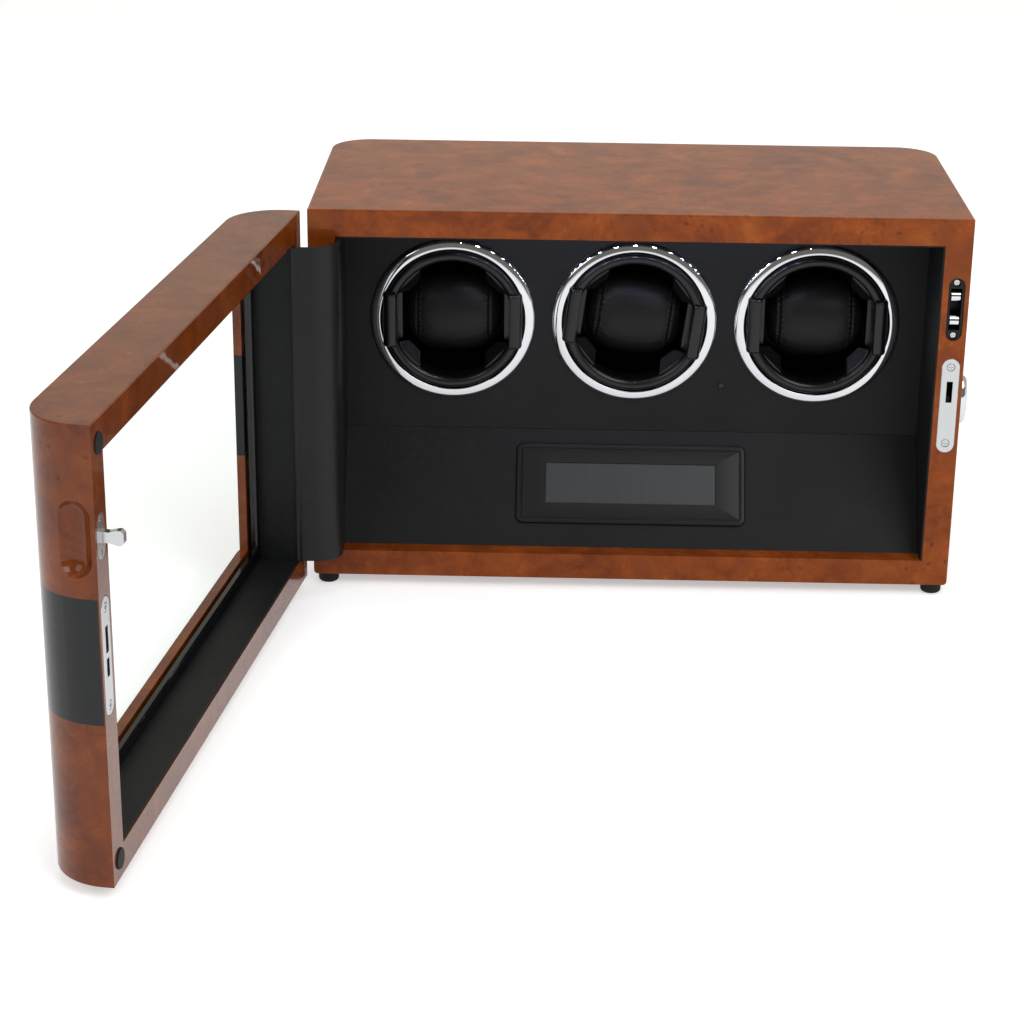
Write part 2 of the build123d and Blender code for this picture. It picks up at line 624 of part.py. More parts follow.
def lock_claw():
    """The hooked bolt, an arc about its own pivot, drawn thrown and then turned back into the case."""
    x0, x1 = STILE_X - 1.1, STILE_X + 1.1
    claw = arc_band(CLAW_INNER, CLAW_OUTER, 161, 264, x0, x1)
    claw += arc_band(2.4, CLAW_INNER + 0.5, 248, 264, x0, x1)
    claw += rod_x(CLAW_Y, CLAW_Z, x0, x1, 3.0)
    claw -= rod_x(CLAW_Y, CLAW_Z, x0 - 1, x1 + 1, 1.4 + RUNNING)
    pivot = Pos(0, CLAW_Y, CLAW_Z)
    return pivot * Rot(CLAW_RETRACT, 0, 0) * Pos(0, -CLAW_Y, -CLAW_Z) * claw


def lock_plug():
    """The key barrel, with its keyhole outside and the cam that drives the claw inside."""
    inner = STILE_X + 1.3
    barrel = rod_x(PLUG_Y, PLUG_Z, STILE_X + 2.4, SIDE + 4.6, PLUG_RADIUS)
    barrel += rod_x(PLUG_Y, PLUG_Z, inner, STILE_X + 2.4, 2.6)
    barrel += block(inner, STILE_X + 2.4, PLUG_Y - 1.2, PLUG_Y + 1.2, PLUG_Z, PLUG_Z + 6.5)
    keyhole = rod_x(PLUG_Y, PLUG_Z + 1.0, SIDE + 0.5, SIDE + 6, 1.3)
    keyhole += block(SIDE + 0.5, SIDE + 6, PLUG_Y - 0.55, PLUG_Y + 0.55, PLUG_Z - 2.8, PLUG_Z + 1)
    return barrel - keyhole


def key_escutcheon():
    plane = Plane(origin=(SIDE, PLUG_Y, ESCUTCHEON_Z), x_dir=(0, 1, 0), z_dir=(1, 0, 0))
    dome = extrude(plane * Ellipse(8.4, 15.0), 5.0)
    dome = fillet(dome.edges().group_by(Axis.X)[-1], 3.4)
    return dome - rod_x(PLUG_Y, PLUG_Z, SIDE - 1, SIDE + 9, PLUG_RADIUS + 0.1)


def case_hinge_leaf(z):
    """The case's half of a butt hinge: a leaf let into the stile, and two of its three knuckles."""
    low, high = z - HINGE_LENGTH / 2, z + HINGE_LENGTH / 2
    third = HINGE_LENGTH / 3
    leaf = block(HINGE_X, -SIDE + 11.5, HINGE_Y + 0.1, HINGE_Y + 0.1 + HINGE_LEAF, low, high)
    leaf += rod_z(HINGE_X, HINGE_Y, low, low + third, KNUCKLE) + rod_z(HINGE_X, HINGE_Y, high - third, high, KNUCKLE)
    leaf -= rod_z(HINGE_X, HINGE_Y, low + third, high - third, KNUCKLE + 0.2)
    return leaf - rod_z(HINGE_X, HINGE_Y, low - 1, high + 1, PIN_RADIUS)


def door_hinge_leaf(z):
    low, high = z - HINGE_LENGTH / 2, z + HINGE_LENGTH / 2
    third = HINGE_LENGTH / 3
    leaf = block(HINGE_X, -SIDE + 11.5, HINGE_Y - 0.1 - HINGE_LEAF, HINGE_Y - 0.1, low, high)
    leaf -= rod_z(HINGE_X, HINGE_Y, low - 1, low + third + 0.2, KNUCKLE + 0.2)
    leaf -= rod_z(HINGE_X, HINGE_Y, high - third - 0.2, high + 1, KNUCKLE + 0.2)
    leaf += rod_z(HINGE_X, HINGE_Y, low + third + 0.2, high - third - 0.2, KNUCKLE)
    return leaf - rod_z(HINGE_X, HINGE_Y, low - 1, high + 1, PIN_RADIUS + RUNNING)


def hinge_pin(z):
    pin = rod_z(HINGE_X, HINGE_Y, z - HINGE_LENGTH / 2, z + HINGE_LENGTH / 2 + 0.8, PIN_RADIUS)
    return pin + rod_z(HINGE_X, HINGE_Y, z + HINGE_LENGTH / 2, z + HINGE_LENGTH / 2 + 0.8, KNUCKLE - 0.4)


def door_frame():
    """The door's wooden frame: a hollow tray with a window in its front and its outer ends rounded."""
    plan = Pos(0, (DOOR_BACK + DOOR_FRONT) / 2) * Rectangle(CASE_WIDTH, DOOR_DEPTH)
    plan = fillet(plan.vertices().group_by(Axis.Y)[0], DOOR_CORNER)
    frame = extrude(plan, CASE_HEIGHT)
    rims = frame.faces().sort_by(Axis.Z)
    frame = fillet(rims[0].edges() + rims[-1].edges(), EDGE)
    frame -= block(-INNER_X, INNER_X, DOOR_FRONT + LIP, FRONT, WALL, CEILING)
    edge, low = SIDE - WINDOW_INSET, WINDOW_INSET
    frame -= block(-edge, edge, DOOR_FRONT - 1, DOOR_FRONT + LIP + 1, low, CASE_HEIGHT - low)
    frame -= oblong_y(STILE_X, LOCK_PLATE_Z + 0.7, PLATE_WIDTH + 0.2, PLATE_HEIGHT + 0.2, DOOR_BACK - 1.5, FRONT)
    frame -= block(STILE_X - 2, STILE_X + 2, DOOR_BACK - 7, FRONT, 104, 137)
    frame -= oblong_y(STILE_X, CATCH_Z, 11.2, 22.2, DOOR_BACK - 1.3, FRONT)
    for screw in DOOR_SCREWS:
        frame -= screw_seat(*screw)
    for z in HINGE_HEIGHTS:
        half = HINGE_LENGTH / 2 + 0.2
        frame -= block(-SIDE - 1, -SIDE + 11.7, DOOR_BACK - 0.9, FRONT, z - half, z + half)
    return frame - finger_recess()


def finger_recess():
    """The scooped oblong in the door's free end, with round ends and a round floor."""
    reach = RECESS_HEIGHT / 2 - RECESS_RADIUS
    x, y = SIDE + 3.4, DOOR_BACK - 10.6
    scoop = rod_z(x, y, RECESS_Z - reach, RECESS_Z + reach, RECESS_RADIUS)
    for z in (RECESS_Z - reach, RECESS_Z + reach):
        scoop += Pos(x, y, z) * Sphere(RECESS_RADIUS)
    return scoop


def door_glass():
    y = DOOR_FRONT + LIP
    return block(-INNER_X + 0.5, INNER_X - 0.5, y, y + GLASS, WALL + 0.5, CEILING - 0.5)


def glass_bead():
    """The black frame that holds the glass against the lip."""
    y0 = DOOR_FRONT + LIP + GLASS
    y1 = y0 + BEAD
    bead = block(-INNER_X + 0.1, INNER_X - 0.1, y0, y1, WALL + 0.1, CEILING - 0.1)
    edge, low = SIDE - WINDOW_INSET, WINDOW_INSET
    hole = block(-edge, edge, y0 - 1, y1 + 1, low, CASE_HEIGHT - low)
    bead -= hole
    inside = bead.faces().sort_by(Axis.Y)[-1].inner_wires()[0].edges()
    return chamfer(inside, 1.0)


def door_lining():
    y0, y1 = DOOR_FRONT + LIP + GLASS + BEAD, DOOR_BACK - 0.6
    outer = block(-INNER_X, INNER_X, y0, y1, WALL, CEILING)
    inner = INNER_X - LINING
    return outer - block(-inner, inner, y0 - 1, y1 + 1, WALL + LINING, CEILING - LINING)


def catch_tongue():
    """The plate and the flared tongue that goes between the catch's rollers."""
    plate = oblong_y(STILE_X, CATCH_Z, 11.0, 22.0, DOOR_BACK - 1.2, DOOR_BACK)
    for side in (-1, 1):
        plate -= rod_y(STILE_X, CATCH_Z + side * 8.4, DOOR_BACK - 2, DOOR_BACK + 1, 1.75)
    tip = DOOR_BACK + TONGUE_LENGTH
    half_side = [(DOOR_BACK - 0.5, 2.8), (DOOR_BACK + 4, 2.5), (tip - 3.2, 3.5), (tip - 1.4, 3.6), (tip, 2.2)]
    points = half_side + [(y, -z) for y, z in reversed(half_side)]
    side_plane = Plane(origin=(STILE_X - 2, 0, CATCH_Z), x_dir=(0, 1, 0), z_dir=(1, 0, 0))
    return plate + extrude(side_plane * make_face(Polyline(*points, close=True)), 4)


def door_lock_plate():
    plate = oblong_y(STILE_X, LOCK_PLATE_Z + 0.7, PLATE_WIDTH, PLATE_HEIGHT, DOOR_BACK - 1.4, DOOR_BACK + 0.2)
    plate = chamfer(plate.faces().sort_by(Axis.Y)[-1].edges(), 0.3)
    for low, high in ((105.6, 114.6), (117.4, 130.4)):
        plate -= block(STILE_X - SLOT_WIDTH / 2, STILE_X + SLOT_WIDTH / 2, DOOR_BACK - 2, FRONT, low, high)
    for screw in DOOR_SCREWS[:2]:
        plate -= screw_seat(*screw)
    return plate


def door_bumpers():
    pads = []
    for z in (11.0, CASE_HEIGHT - 11.0):
        pad = rod_y(SIDE - 9.6, z, DOOR_BACK, FRONT - 0.1, 5.2)
        pads.append(chamfer(pad.edges().group_by(Axis.Y)[-1], 0.3))
    return group(pads)


def hinge_cover():
    """The leatherette flap over the hinges, from the door's lining round into the case's."""
    line_x = -INNER_X + LINING + 0.1 + LINING / 2
    bend_y = FRONT - COVER_BEND - 0.6
    to_open = Pos(HINGE_X, HINGE_Y) * Rot(0, 0, -DOOR_OPEN) * Pos(-HINGE_X, -HINGE_Y)
    start = (to_open * Pos(line_x, DOOR_BACK - 9)).position
    corner = (to_open * Pos(line_x, DOOR_BACK + 1)).position
    path = FilletPolyline(start, corner, (line_x, bend_y - COVER_BEND), (line_x, FRONT + 12),
                          radius=[4.0, COVER_BEND])
    strip = trace(path, LINING)
    return Pos(0, 0, WALL + 1.2) * extrude(strip, CEILING - WALL - 2.4)


swing = Pos(HINGE_X, HINGE_Y, 0) * Rot(0, 0, -DOOR_OPEN) * Pos(-HINGE_X, -HINGE_Y, 0)

left_side, right_side, back_panel = case_walls()
nodes = {
    "case_top": case_top(),
    "case_bottom": case_bottom(),
    "case_left_side": left_side,
    "case_right_side": right_side,
    "case_back": back_panel,
    "rear_cover": rear_cover(),
    "case_screws": group([wood_screw(*screw) for screw in COVER_SCREWS + CASE_SCREWS]),
    "power_inlet": power_inlet(),
    "feet": feet(),
    "case_lining": case_lining(),
    "faceplate": faceplate(),
    "console_panel": console(),
    "display_bezel": display_bezel(),
    "display_screen": display_screen(),
    "control_board": control_board(),
    "remote_sensor": sensor(),
    "light_strip": light_strip(),
    "motor_plate": motor_plate(),
    "axle_bushes": bushes(),
    "catch_housing": catch_housing(),
    "catch_roller_upper": catch_roller(1),
    "catch_roller_lower": catch_roller(-1),
    "lock_plate": lock_plate(),
    "lock_case": lock_case(),
    "lock_claw": lock_claw(),
    "lock_plug": lock_plug(),
    "key_escutcheon": key_escutcheon(),
    "case_hinge_leaves": group([case_hinge_leaf(z) for z in HINGE_HEIGHTS]),
    "hinge_pins": group([hinge_pin(z) for z in HINGE_HEIGHTS]),
    "hinge_cover": hinge_cover(),
}
for number, (x, turn) in enumerate(zip(STATIONS, CUP_TURNS), start=1):
    turned_cup = Pos(x, 0, STATION_Z) * Rot(0, turn, 0) * Pos(-x, 0, -STATION_Z)
    nodes[f"ring_{number}"] = ring(x)
    nodes[f"cup_{number}"] = cup(x)
    nodes[f"drive_gear_{number}"] = drive_gear(x)
    nodes[f"pinion_{number}"] = pinion(x)
    nodes[f"motor_{number}"] = motor(x)
    nodes[f"pillow_holder_{number}"] = turned_cup * holder(x)
    nodes[f"pillow_{number}"] = turned_cup * pillow(x)
door_nodes = {
    "door_frame": door_frame(),
    "door_glass": door_glass(),
    "glass_bead": glass_bead(),
    "door_lining": door_lining(),
    "catch_tongue": catch_tongue(),
    "door_lock_plate": door_lock_plate(),
    "door_screws": group([wood_screw(*screw) for screw in DOOR_SCREWS]),
    "door_bumpers": door_bumpers(),
    "door_hinge_leaves": group([door_hinge_leaf(z) for z in HINGE_HEIGHTS]),
}
for name, shape in door_nodes.items():
    nodes[name] = swing * shape

for name, shape in nodes.items():
    export_step(shape, f"parts/{name}.step")
print(len(nodes), "nodes written")
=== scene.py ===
import bpy
import bmesh
from math import acos, asin, atan2, cos, exp, pi, radians, sin, sqrt, tan
from mathutils import Matrix, Vector
from mathutils.bvhtree import BVHTree


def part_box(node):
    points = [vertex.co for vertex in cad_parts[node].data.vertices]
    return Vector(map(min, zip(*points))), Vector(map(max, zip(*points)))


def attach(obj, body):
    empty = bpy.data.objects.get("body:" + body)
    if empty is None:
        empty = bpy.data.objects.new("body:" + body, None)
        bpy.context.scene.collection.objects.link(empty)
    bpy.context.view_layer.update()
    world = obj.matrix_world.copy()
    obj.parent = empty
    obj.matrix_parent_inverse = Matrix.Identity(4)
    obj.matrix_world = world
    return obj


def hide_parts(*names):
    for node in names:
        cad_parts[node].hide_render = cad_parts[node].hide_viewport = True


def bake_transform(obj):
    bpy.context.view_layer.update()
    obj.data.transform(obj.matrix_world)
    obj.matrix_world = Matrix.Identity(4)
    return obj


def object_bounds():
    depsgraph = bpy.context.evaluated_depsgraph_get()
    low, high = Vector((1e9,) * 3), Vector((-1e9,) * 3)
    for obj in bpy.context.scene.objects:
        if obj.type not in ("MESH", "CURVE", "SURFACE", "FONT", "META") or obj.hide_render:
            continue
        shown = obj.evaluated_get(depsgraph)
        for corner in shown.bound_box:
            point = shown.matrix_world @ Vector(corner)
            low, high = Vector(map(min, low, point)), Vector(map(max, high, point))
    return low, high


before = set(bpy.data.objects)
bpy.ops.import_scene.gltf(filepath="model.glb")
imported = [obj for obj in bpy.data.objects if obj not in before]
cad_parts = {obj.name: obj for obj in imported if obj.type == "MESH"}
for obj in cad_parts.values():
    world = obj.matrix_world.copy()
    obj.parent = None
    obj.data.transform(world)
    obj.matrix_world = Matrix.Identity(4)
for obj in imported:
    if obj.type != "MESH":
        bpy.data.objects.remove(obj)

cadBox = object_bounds()
mm = 0.001

# The three stations and the faceplate, read from the frame.
stationX = [(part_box(f"ring_{n}")[0][0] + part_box(f"ring_{n}")[1][0]) / 2 for n in (1, 2, 3)]
stationZ = (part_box("ring_2")[0][2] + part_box("ring_2")[1][2]) / 2
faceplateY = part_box("faceplate")[0][1]
cupTurns = [0.0, 7.3, 0.0]  # degrees, clockwise from the front, as the cups stand in the photograph
print("frame loaded:", len(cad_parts), "nodes")


# An sRGB colour written as hex text, turned to linear.
def linearColour(hexText):
    values = [int(hexText[i:i + 2], 16) / 255 for i in (1, 3, 5)]
    return tuple(v / 12.92 if v <= 0.04045 else ((v + 0.055) / 1.055) ** 2.4 for v in values) + (1.0,)


# An input is a value, a socket, or a node whose first output is linked.
def addNode(tree, kind, inputs=None, **settings):
    node = tree.nodes.new(kind)
    for name, value in settings.items():
        setattr(node, name, value)
    for name, value in (inputs or {}).items():
        if isinstance(value, bpy.types.Node):
            value = value.outputs[0]
        if isinstance(value, bpy.types.NodeSocket):
            tree.links.new(value, node.inputs[name])
        else:
            node.inputs[name].default_value = value
    return node


def newMaterial(name, **sockets):
    material = bpy.data.materials.new(name)
    material.use_nodes = True
    tree = material.node_tree
    shader = tree.nodes["Principled BSDF"]
    for socket, value in sockets.items():
        shader.inputs[socket.replace("_", " ")].default_value = value
    return material, tree, shader


def setStops(ramp, stops):
    points = ramp.color_ramp.elements
    while len(points) < len(stops):
        points.new(0.5)
    for point, (place, colour) in zip(points, stops):
        point.position = place
        point.color = linearColour(colour)


def perMetre(sizeInMm):
    return 1000.0 / sizeInMm


# Burl veneer under thick gloss lacquer: a low-contrast mottle, dusky patches full of small dark eyes
# and curls, and a clear wet coat over it. The coats mirror less than bare lacquer, to match the photograph.
burl = {
    "swirlMm": 70.0, "swirlReachMm": 22.0, "patchMm": 52.0, "mottleMm": 19.0, "curlMm": 8.0,
    "eyeMm": 6.5, "poreMm": 1.3, "peelMm": 9.0, "peelHeight": 0.0005, "peelStrength": 0.05,
    "dark": "#67290B", "mid": "#7D390F", "warm": "#934612", "pale": "#B25E1C", "dusk": "#4A2819",
    "eye": "#34190B", "cloudShare": 0.38, "curlShare": 0.24, "duskMost": 0.55, "eyeMost": 0.7,
    # The door's veneer is darkened all over as painted shade, for the shade the door stands in
    "roughest": 0.54, "smoothest": 0.36, "caseCoat": 1.25, "doorCoat": 1.38, "doorPaintedShade": 0.70,
}


def burlLacquer(name, bandedAndShaded=False):
    material, tree, shader = newMaterial(name, Specular_IOR_Level=0.04, Coat_Weight=1.0, Coat_Roughness=0.03,
                                         Coat_IOR=burl["doorCoat" if bandedAndShaded else "caseCoat"])
    place = addNode(tree, "ShaderNodeTexCoord").outputs["Object"]
    swirl = addNode(tree, "ShaderNodeTexNoise",
                    {"Vector": place, "Scale": perMetre(burl["swirlMm"]), "Detail": 3.0})
    centred = addNode(tree, "ShaderNodeVectorMath", {0: swirl.outputs["Color"], 1: (0.5, 0.5, 0.5)},
                      operation="SUBTRACT")
    pushed = addNode(tree, "ShaderNodeVectorMath", {0: centred, "Scale": 2 * burl["swirlReachMm"] * mm},
                     operation="SCALE")
    bent = addNode(tree, "ShaderNodeVectorMath", {0: place, 1: pushed}, operation="ADD")

    # The ground tone: broad patches, a mottle and curls
    mottle = addNode(tree, "ShaderNodeTexNoise",
                     {"Vector": bent, "Scale": perMetre(burl["mottleMm"]), "Detail": 4.0, "Distortion": 0.4})
    patch = addNode(tree, "ShaderNodeTexNoise",
                    {"Vector": bent, "Scale": perMetre(burl["patchMm"]), "Detail": 4.0, "Roughness": 0.55})
    curl = addNode(tree, "ShaderNodeTexNoise",
                   {"Vector": bent, "Scale": perMetre(burl["curlMm"]), "Detail": 4.0, "Roughness": 0.6,
                    "Distortion": 1.6})
    summed = addNode(tree, "ShaderNodeMath", {0: mottle, 1: patch}, operation="ADD")
    clouds = addNode(tree, "ShaderNodeMath", {0: summed, 1: burl["cloudShare"]}, operation="MULTIPLY")
    tone = addNode(tree, "ShaderNodeMath", {0: curl, 1: burl["curlShare"], 2: clouds},
                   operation="MULTIPLY_ADD")
    wood = addNode(tree, "ShaderNodeValToRGB", {"Fac": tone})
    setStops(wood, [(0.35, burl["dark"]), (0.45, burl["mid"]), (0.55, burl["warm"]), (0.66, burl["pale"])])

    # Dusky patches, darkest along their curls
    duskPatch = addNode(tree, "ShaderNodeMapRange",
                        {"Value": patch, "From Min": 0.52, "From Max": 0.68, "To Max": burl["duskMost"]})
    duskCurl = addNode(tree, "ShaderNodeMapRange",
                       {"Value": curl, "From Min": 0.40, "From Max": 0.62, "To Min": 0.35})
    duskShare = addNode(tree, "ShaderNodeMath", {0: duskPatch, 1: duskCurl}, operation="MULTIPLY")
    dusky = addNode(tree, "ShaderNodeMix", {"Factor": duskShare, 6: wood, 7: linearColour(burl["dusk"])},
                    data_type="RGBA").outputs[2]

    # Small dark eyes, in clusters
    eyes = addNode(tree, "ShaderNodeTexVoronoi", {"Vector": bent, "Scale": perMetre(burl["eyeMm"])})
    eyeRim = addNode(tree, "ShaderNodeMapRange",
                     {"Value": eyes, "From Min": 0.05, "From Max": 0.24, "To Min": 1.0, "To Max": 0.0})
    eyeCluster = addNode(tree, "ShaderNodeMapRange",
                         {"Value": swirl, "From Min": 0.50, "From Max": 0.60, "To Max": burl["eyeMost"]})
    eyeShare = addNode(tree, "ShaderNodeMath", {0: eyeRim, 1: eyeCluster}, operation="MULTIPLY")
    colour = addNode(tree, "ShaderNodeMix", {"Factor": eyeShare, 6: dusky, 7: linearColour(burl["eye"])},
                     data_type="RGBA").outputs[2]
    # On the door: the veneer is darkened all over as painted shade, then the black band goes on
    if bandedAndShaded:
        shade = (burl["doorPaintedShade"],) * 3 + (1.0,)
        colour = addNode(tree, "ShaderNodeMix", {"Factor": 1.0, 6: colour, 7: shade},
                         data_type="RGBA", blend_type="MULTIPLY").outputs[2]
        colour = bandedColour(tree, place, colour)
    tree.links.new(colour, shader.inputs["Base Color"])

    # Open pores under the coat, and the faint orange peel of sprayed lacquer
    pores = addNode(tree, "ShaderNodeTexNoise", {"Vector": place, "Scale": perMetre(burl["poreMm"])})
    shine = addNode(tree, "ShaderNodeMapRange",
                    {"Value": pores, "To Min": burl["smoothest"], "To Max": burl["roughest"]})
    tree.links.new(shine.outputs[0], shader.inputs["Roughness"])
    peel = addNode(tree, "ShaderNodeTexNoise",
                   {"Vector": place, "Scale": perMetre(burl["peelMm"]), "Detail": 1.0})
    bump = addNode(tree, "ShaderNodeBump",
                   {"Height": peel, "Strength": burl["peelStrength"], "Distance": burl["peelHeight"]})
    tree.links.new(bump.outputs[0], shader.inputs["Coat Normal"])
    return material


# The black lacquer band round both stiles of the door, in metres; it stops at the face that meets the case.
doorBand = {"low": 0.0840, "high": 0.1460, "colour": "#15171A", "openAngle": 97.67,
            "hinge": (-0.1953, -0.0935, 0.0), "matingDepth": 0.0012}


def bandedColour(tree, place, colour):
    angle = radians(doorBand["openAngle"])
    inward = Vector((sin(angle), cos(angle), 0))  # from the door's front towards its back, as it stands open
    height = addNode(tree, "ShaderNodeSeparateXYZ", {"Vector": place}).outputs["Z"]
    fromHinge = addNode(tree, "ShaderNodeVectorMath", {0: place, 1: doorBand["hinge"]}, operation="SUBTRACT")
    depth = addNode(tree, "ShaderNodeVectorMath", {0: fromHinge, 1: inward},
                    operation="DOT_PRODUCT").outputs["Value"]
    above = addNode(tree, "ShaderNodeMath", {0: height, 1: doorBand["low"]}, operation="GREATER_THAN")
    below = addNode(tree, "ShaderNodeMath", {0: height, 1: doorBand["high"]}, operation="LESS_THAN")
    behind = addNode(tree, "ShaderNodeMath", {0: depth, 1: -doorBand["matingDepth"]}, operation="LESS_THAN")
    between = addNode(tree, "ShaderNodeMath", {0: above, 1: below}, operation="MULTIPLY")
    share = addNode(tree, "ShaderNodeMath", {0: between, 1: behind}, operation="MULTIPLY")
    return addNode(tree, "ShaderNodeMix", {"Factor": share, 6: colour, 7: linearColour(doorBand["colour"])},
                   data_type="RGBA").outputs[2]


# Black leatherette: vinyl with a fine pebbled grain pressed into it, nearly matt.
# The 0.5 mm grain of the real sheet is drawn at 0.9 mm so that it shows.
leather = {"grainMm": 0.9, "creaseMm": 4.0, "cloudMm": 45.0, "base": "#131416", "high": "#191A1C",
           "grainShare": 0.7, "drift": 0.08, "grainHeight": 0.0002}


def leatherette(name, base, high, roughness=0.52, bumpStrength=0.35, specular=0.22):
    material, tree, shader = newMaterial(name, Specular_IOR_Level=specular)
    place = addNode(tree, "ShaderNodeTexCoord").outputs["Object"]
    grain = addNode(tree, "ShaderNodeTexVoronoi", {"Vector": place, "Scale": perMetre(leather["grainMm"])})
    crease = addNode(tree, "ShaderNodeTexNoise",
                     {"Vector": place, "Scale": perMetre(leather["creaseMm"]), "Detail": 4.0})
    cloud = addNode(tree, "ShaderNodeTexNoise", {"Vector": place, "Scale": perMetre(leather["cloudMm"])})
    height = addNode(tree, "ShaderNodeMath", {0: grain, 1: leather["grainShare"], 2: crease},
                     operation="MULTIPLY_ADD")
    bump = addNode(tree, "ShaderNodeBump",
                   {"Height": height, "Strength": bumpStrength, "Distance": leather["grainHeight"]})
    tree.links.new(bump.outputs[0], shader.inputs["Normal"])
    summed = addNode(tree, "ShaderNodeMath", {0: crease, 1: cloud}, operation="ADD")
    tone = addNode(tree, "ShaderNodeMath", {0: summed, 1: 0.5}, operation="MULTIPLY")
    colour = addNode(tree, "ShaderNodeValToRGB", {"Fac": tone})
    setStops(colour, [(0.38, base), (0.62, high)])
    tree.links.new(colour.outputs[0], shader.inputs["Base Color"])
    shine = addNode(tree, "ShaderNodeMapRange", {"Value": crease, "To Min": roughness - leather["drift"],
                                                 "To Max": roughness + leather["drift"]})
    tree.links.new(shine.outputs[0], shader.inputs["Roughness"])
    return material


# Moulded plastics and rubber: a spark-eroded grain, with small drifts of tone and shine.
moulding = {"tintMm": 30.0, "tint": 0.15, "drift": 0.04, "grainHeight": 0.0001, "coatRoughness": 0.03}


def mouldedPlastic(name, colour, roughness, grainMm=0.5, bumpStrength=0.1, coat=0.0, specular=0.5):
    material, tree, shader = newMaterial(name, Coat_Weight=coat, Coat_Roughness=moulding["coatRoughness"],
                                         Specular_IOR_Level=specular)
    place = addNode(tree, "ShaderNodeTexCoord").outputs["Object"]
    grain = addNode(tree, "ShaderNodeTexNoise", {"Vector": place, "Scale": perMetre(grainMm), "Detail": 3.0})
    cloud = addNode(tree, "ShaderNodeTexNoise", {"Vector": place, "Scale": perMetre(moulding["tintMm"])})
    tint = addNode(tree, "ShaderNodeMapRange",
                   {"Value": cloud, "To Min": 1 - moulding["tint"], "To Max": 1 + moulding["tint"]})
    base = addNode(tree, "ShaderNodeMix", {"Factor": 1.0, 6: linearColour(colour), 7: tint},
                   data_type="RGBA", blend_type="MULTIPLY").outputs[2]
    tree.links.new(base, shader.inputs["Base Color"])
    bump = addNode(tree, "ShaderNodeBump",
                   {"Height": grain, "Strength": bumpStrength, "Distance": moulding["grainHeight"]})
    tree.links.new(bump.outputs[0], shader.inputs["Normal"])
    shine = addNode(tree, "ShaderNodeMapRange", {"Value": grain, "To Min": roughness - moulding["drift"],
                                                 "To Max": roughness + moulding["drift"]})
    tree.links.new(shine.outputs[0], shader.inputs["Roughness"])
    return material


# Metals: plated or brushed; marks run along one axis where the metal is brushed.
metalMarks = {"brushMm": 0.25, "brushLengthMm": 12.0, "smudgeMm": 14.0, "height": 0.00005}


def metal(name, colour, roughness, brushAlong=None, bumpStrength=0.05, smudge=0.04):
    material, tree, shader = newMaterial(name, Metallic=1.0, Base_Color=linearColour(colour))
    place = addNode(tree, "ShaderNodeTexCoord").outputs["Object"]
    if brushAlong is None:
        marks = addNode(tree, "ShaderNodeTexNoise",
                        {"Vector": place, "Scale": perMetre(metalMarks["smudgeMm"]), "Detail": 4.0})
    else:
        stretch = [perMetre(metalMarks["brushMm"])] * 3
        stretch["XYZ".index(brushAlong)] = perMetre(metalMarks["brushLengthMm"])
        stretched = addNode(tree, "ShaderNodeMapping", {"Vector": place, "Scale": stretch})
        marks = addNode(tree, "ShaderNodeTexNoise", {"Vector": stretched, "Scale": 1.0, "Detail": 3.0})
    shine = addNode(tree, "ShaderNodeMapRange", {"Value": marks, "To Min": max(0.0, roughness - smudge),
                                                 "To Max": roughness + smudge})
    tree.links.new(shine.outputs[0], shader.inputs["Roughness"])
    bump = addNode(tree, "ShaderNodeBump",
                   {"Height": marks, "Strength": bumpStrength, "Distance": metalMarks["height"]})
    tree.links.new(bump.outputs[0], shader.inputs["Normal"])
    return material


# Clear float glass, thin enough not to bend what is seen through it. Its outer faces mirror a little, most
# at a glancing view, and lamps shine straight through.
floatGlass = {"clear": "#FBFDFC", "mirror": "#FDFEFE", "ior": 1.5, "mirrorShare": 0.15, "smearMm": 120.0,
              "smearRoughness": 0.02}


def clearGlass(name):
    material, tree, shader = newMaterial(name, Metallic=1.0, Base_Color=linearColour(floatGlass["mirror"]))
    place = addNode(tree, "ShaderNodeTexCoord").outputs["Object"]
    smears = addNode(tree, "ShaderNodeTexNoise", {"Vector": place, "Scale": perMetre(floatGlass["smearMm"])})
    shine = addNode(tree, "ShaderNodeMapRange", {"Value": smears, "To Max": floatGlass["smearRoughness"]})
    tree.links.new(shine.outputs[0], shader.inputs["Roughness"])
    inside = addNode(tree, "ShaderNodeNewGeometry").outputs["Backfacing"]
    outside = addNode(tree, "ShaderNodeMath", {0: 1.0, 1: inside}, operation="SUBTRACT")
    fresnel = addNode(tree, "ShaderNodeFresnel", {"IOR": floatGlass["ior"]})
    glancing = addNode(tree, "ShaderNodeMath", {0: fresnel, 1: outside}, operation="MULTIPLY")
    mirrored = addNode(tree, "ShaderNodeMath", {0: glancing, 1: floatGlass["mirrorShare"]},
                       operation="MULTIPLY")
    passed = addNode(tree, "ShaderNodeMath", {0: 1.0, 1: mirrored}, operation="SUBTRACT")
    lampRay = addNode(tree, "ShaderNodeLightPath").outputs["Is Shadow Ray"]
    share = addNode(tree, "ShaderNodeMath", {0: lampRay, 1: passed}, operation="MAXIMUM")
    clear = addNode(tree, "ShaderNodeBsdfTransparent", {"Color": linearColour(floatGlass["clear"])})
    mix = addNode(tree, "ShaderNodeMixShader", {0: share, 1: shader, 2: clear})
    tree.links.new(mix.outputs[0], tree.nodes["Material Output"].inputs["Surface"])
    return material


# Unlit liquid-crystal window: a neutral grey polariser behind hard plastic, with faint upright bands where
# the digits' segments stand.
display = {"grey": "#3A3D3F", "pale": "#3F4244", "bandMm": 6.91, "bandShare": 0.15, "cloudMm": 40.0}


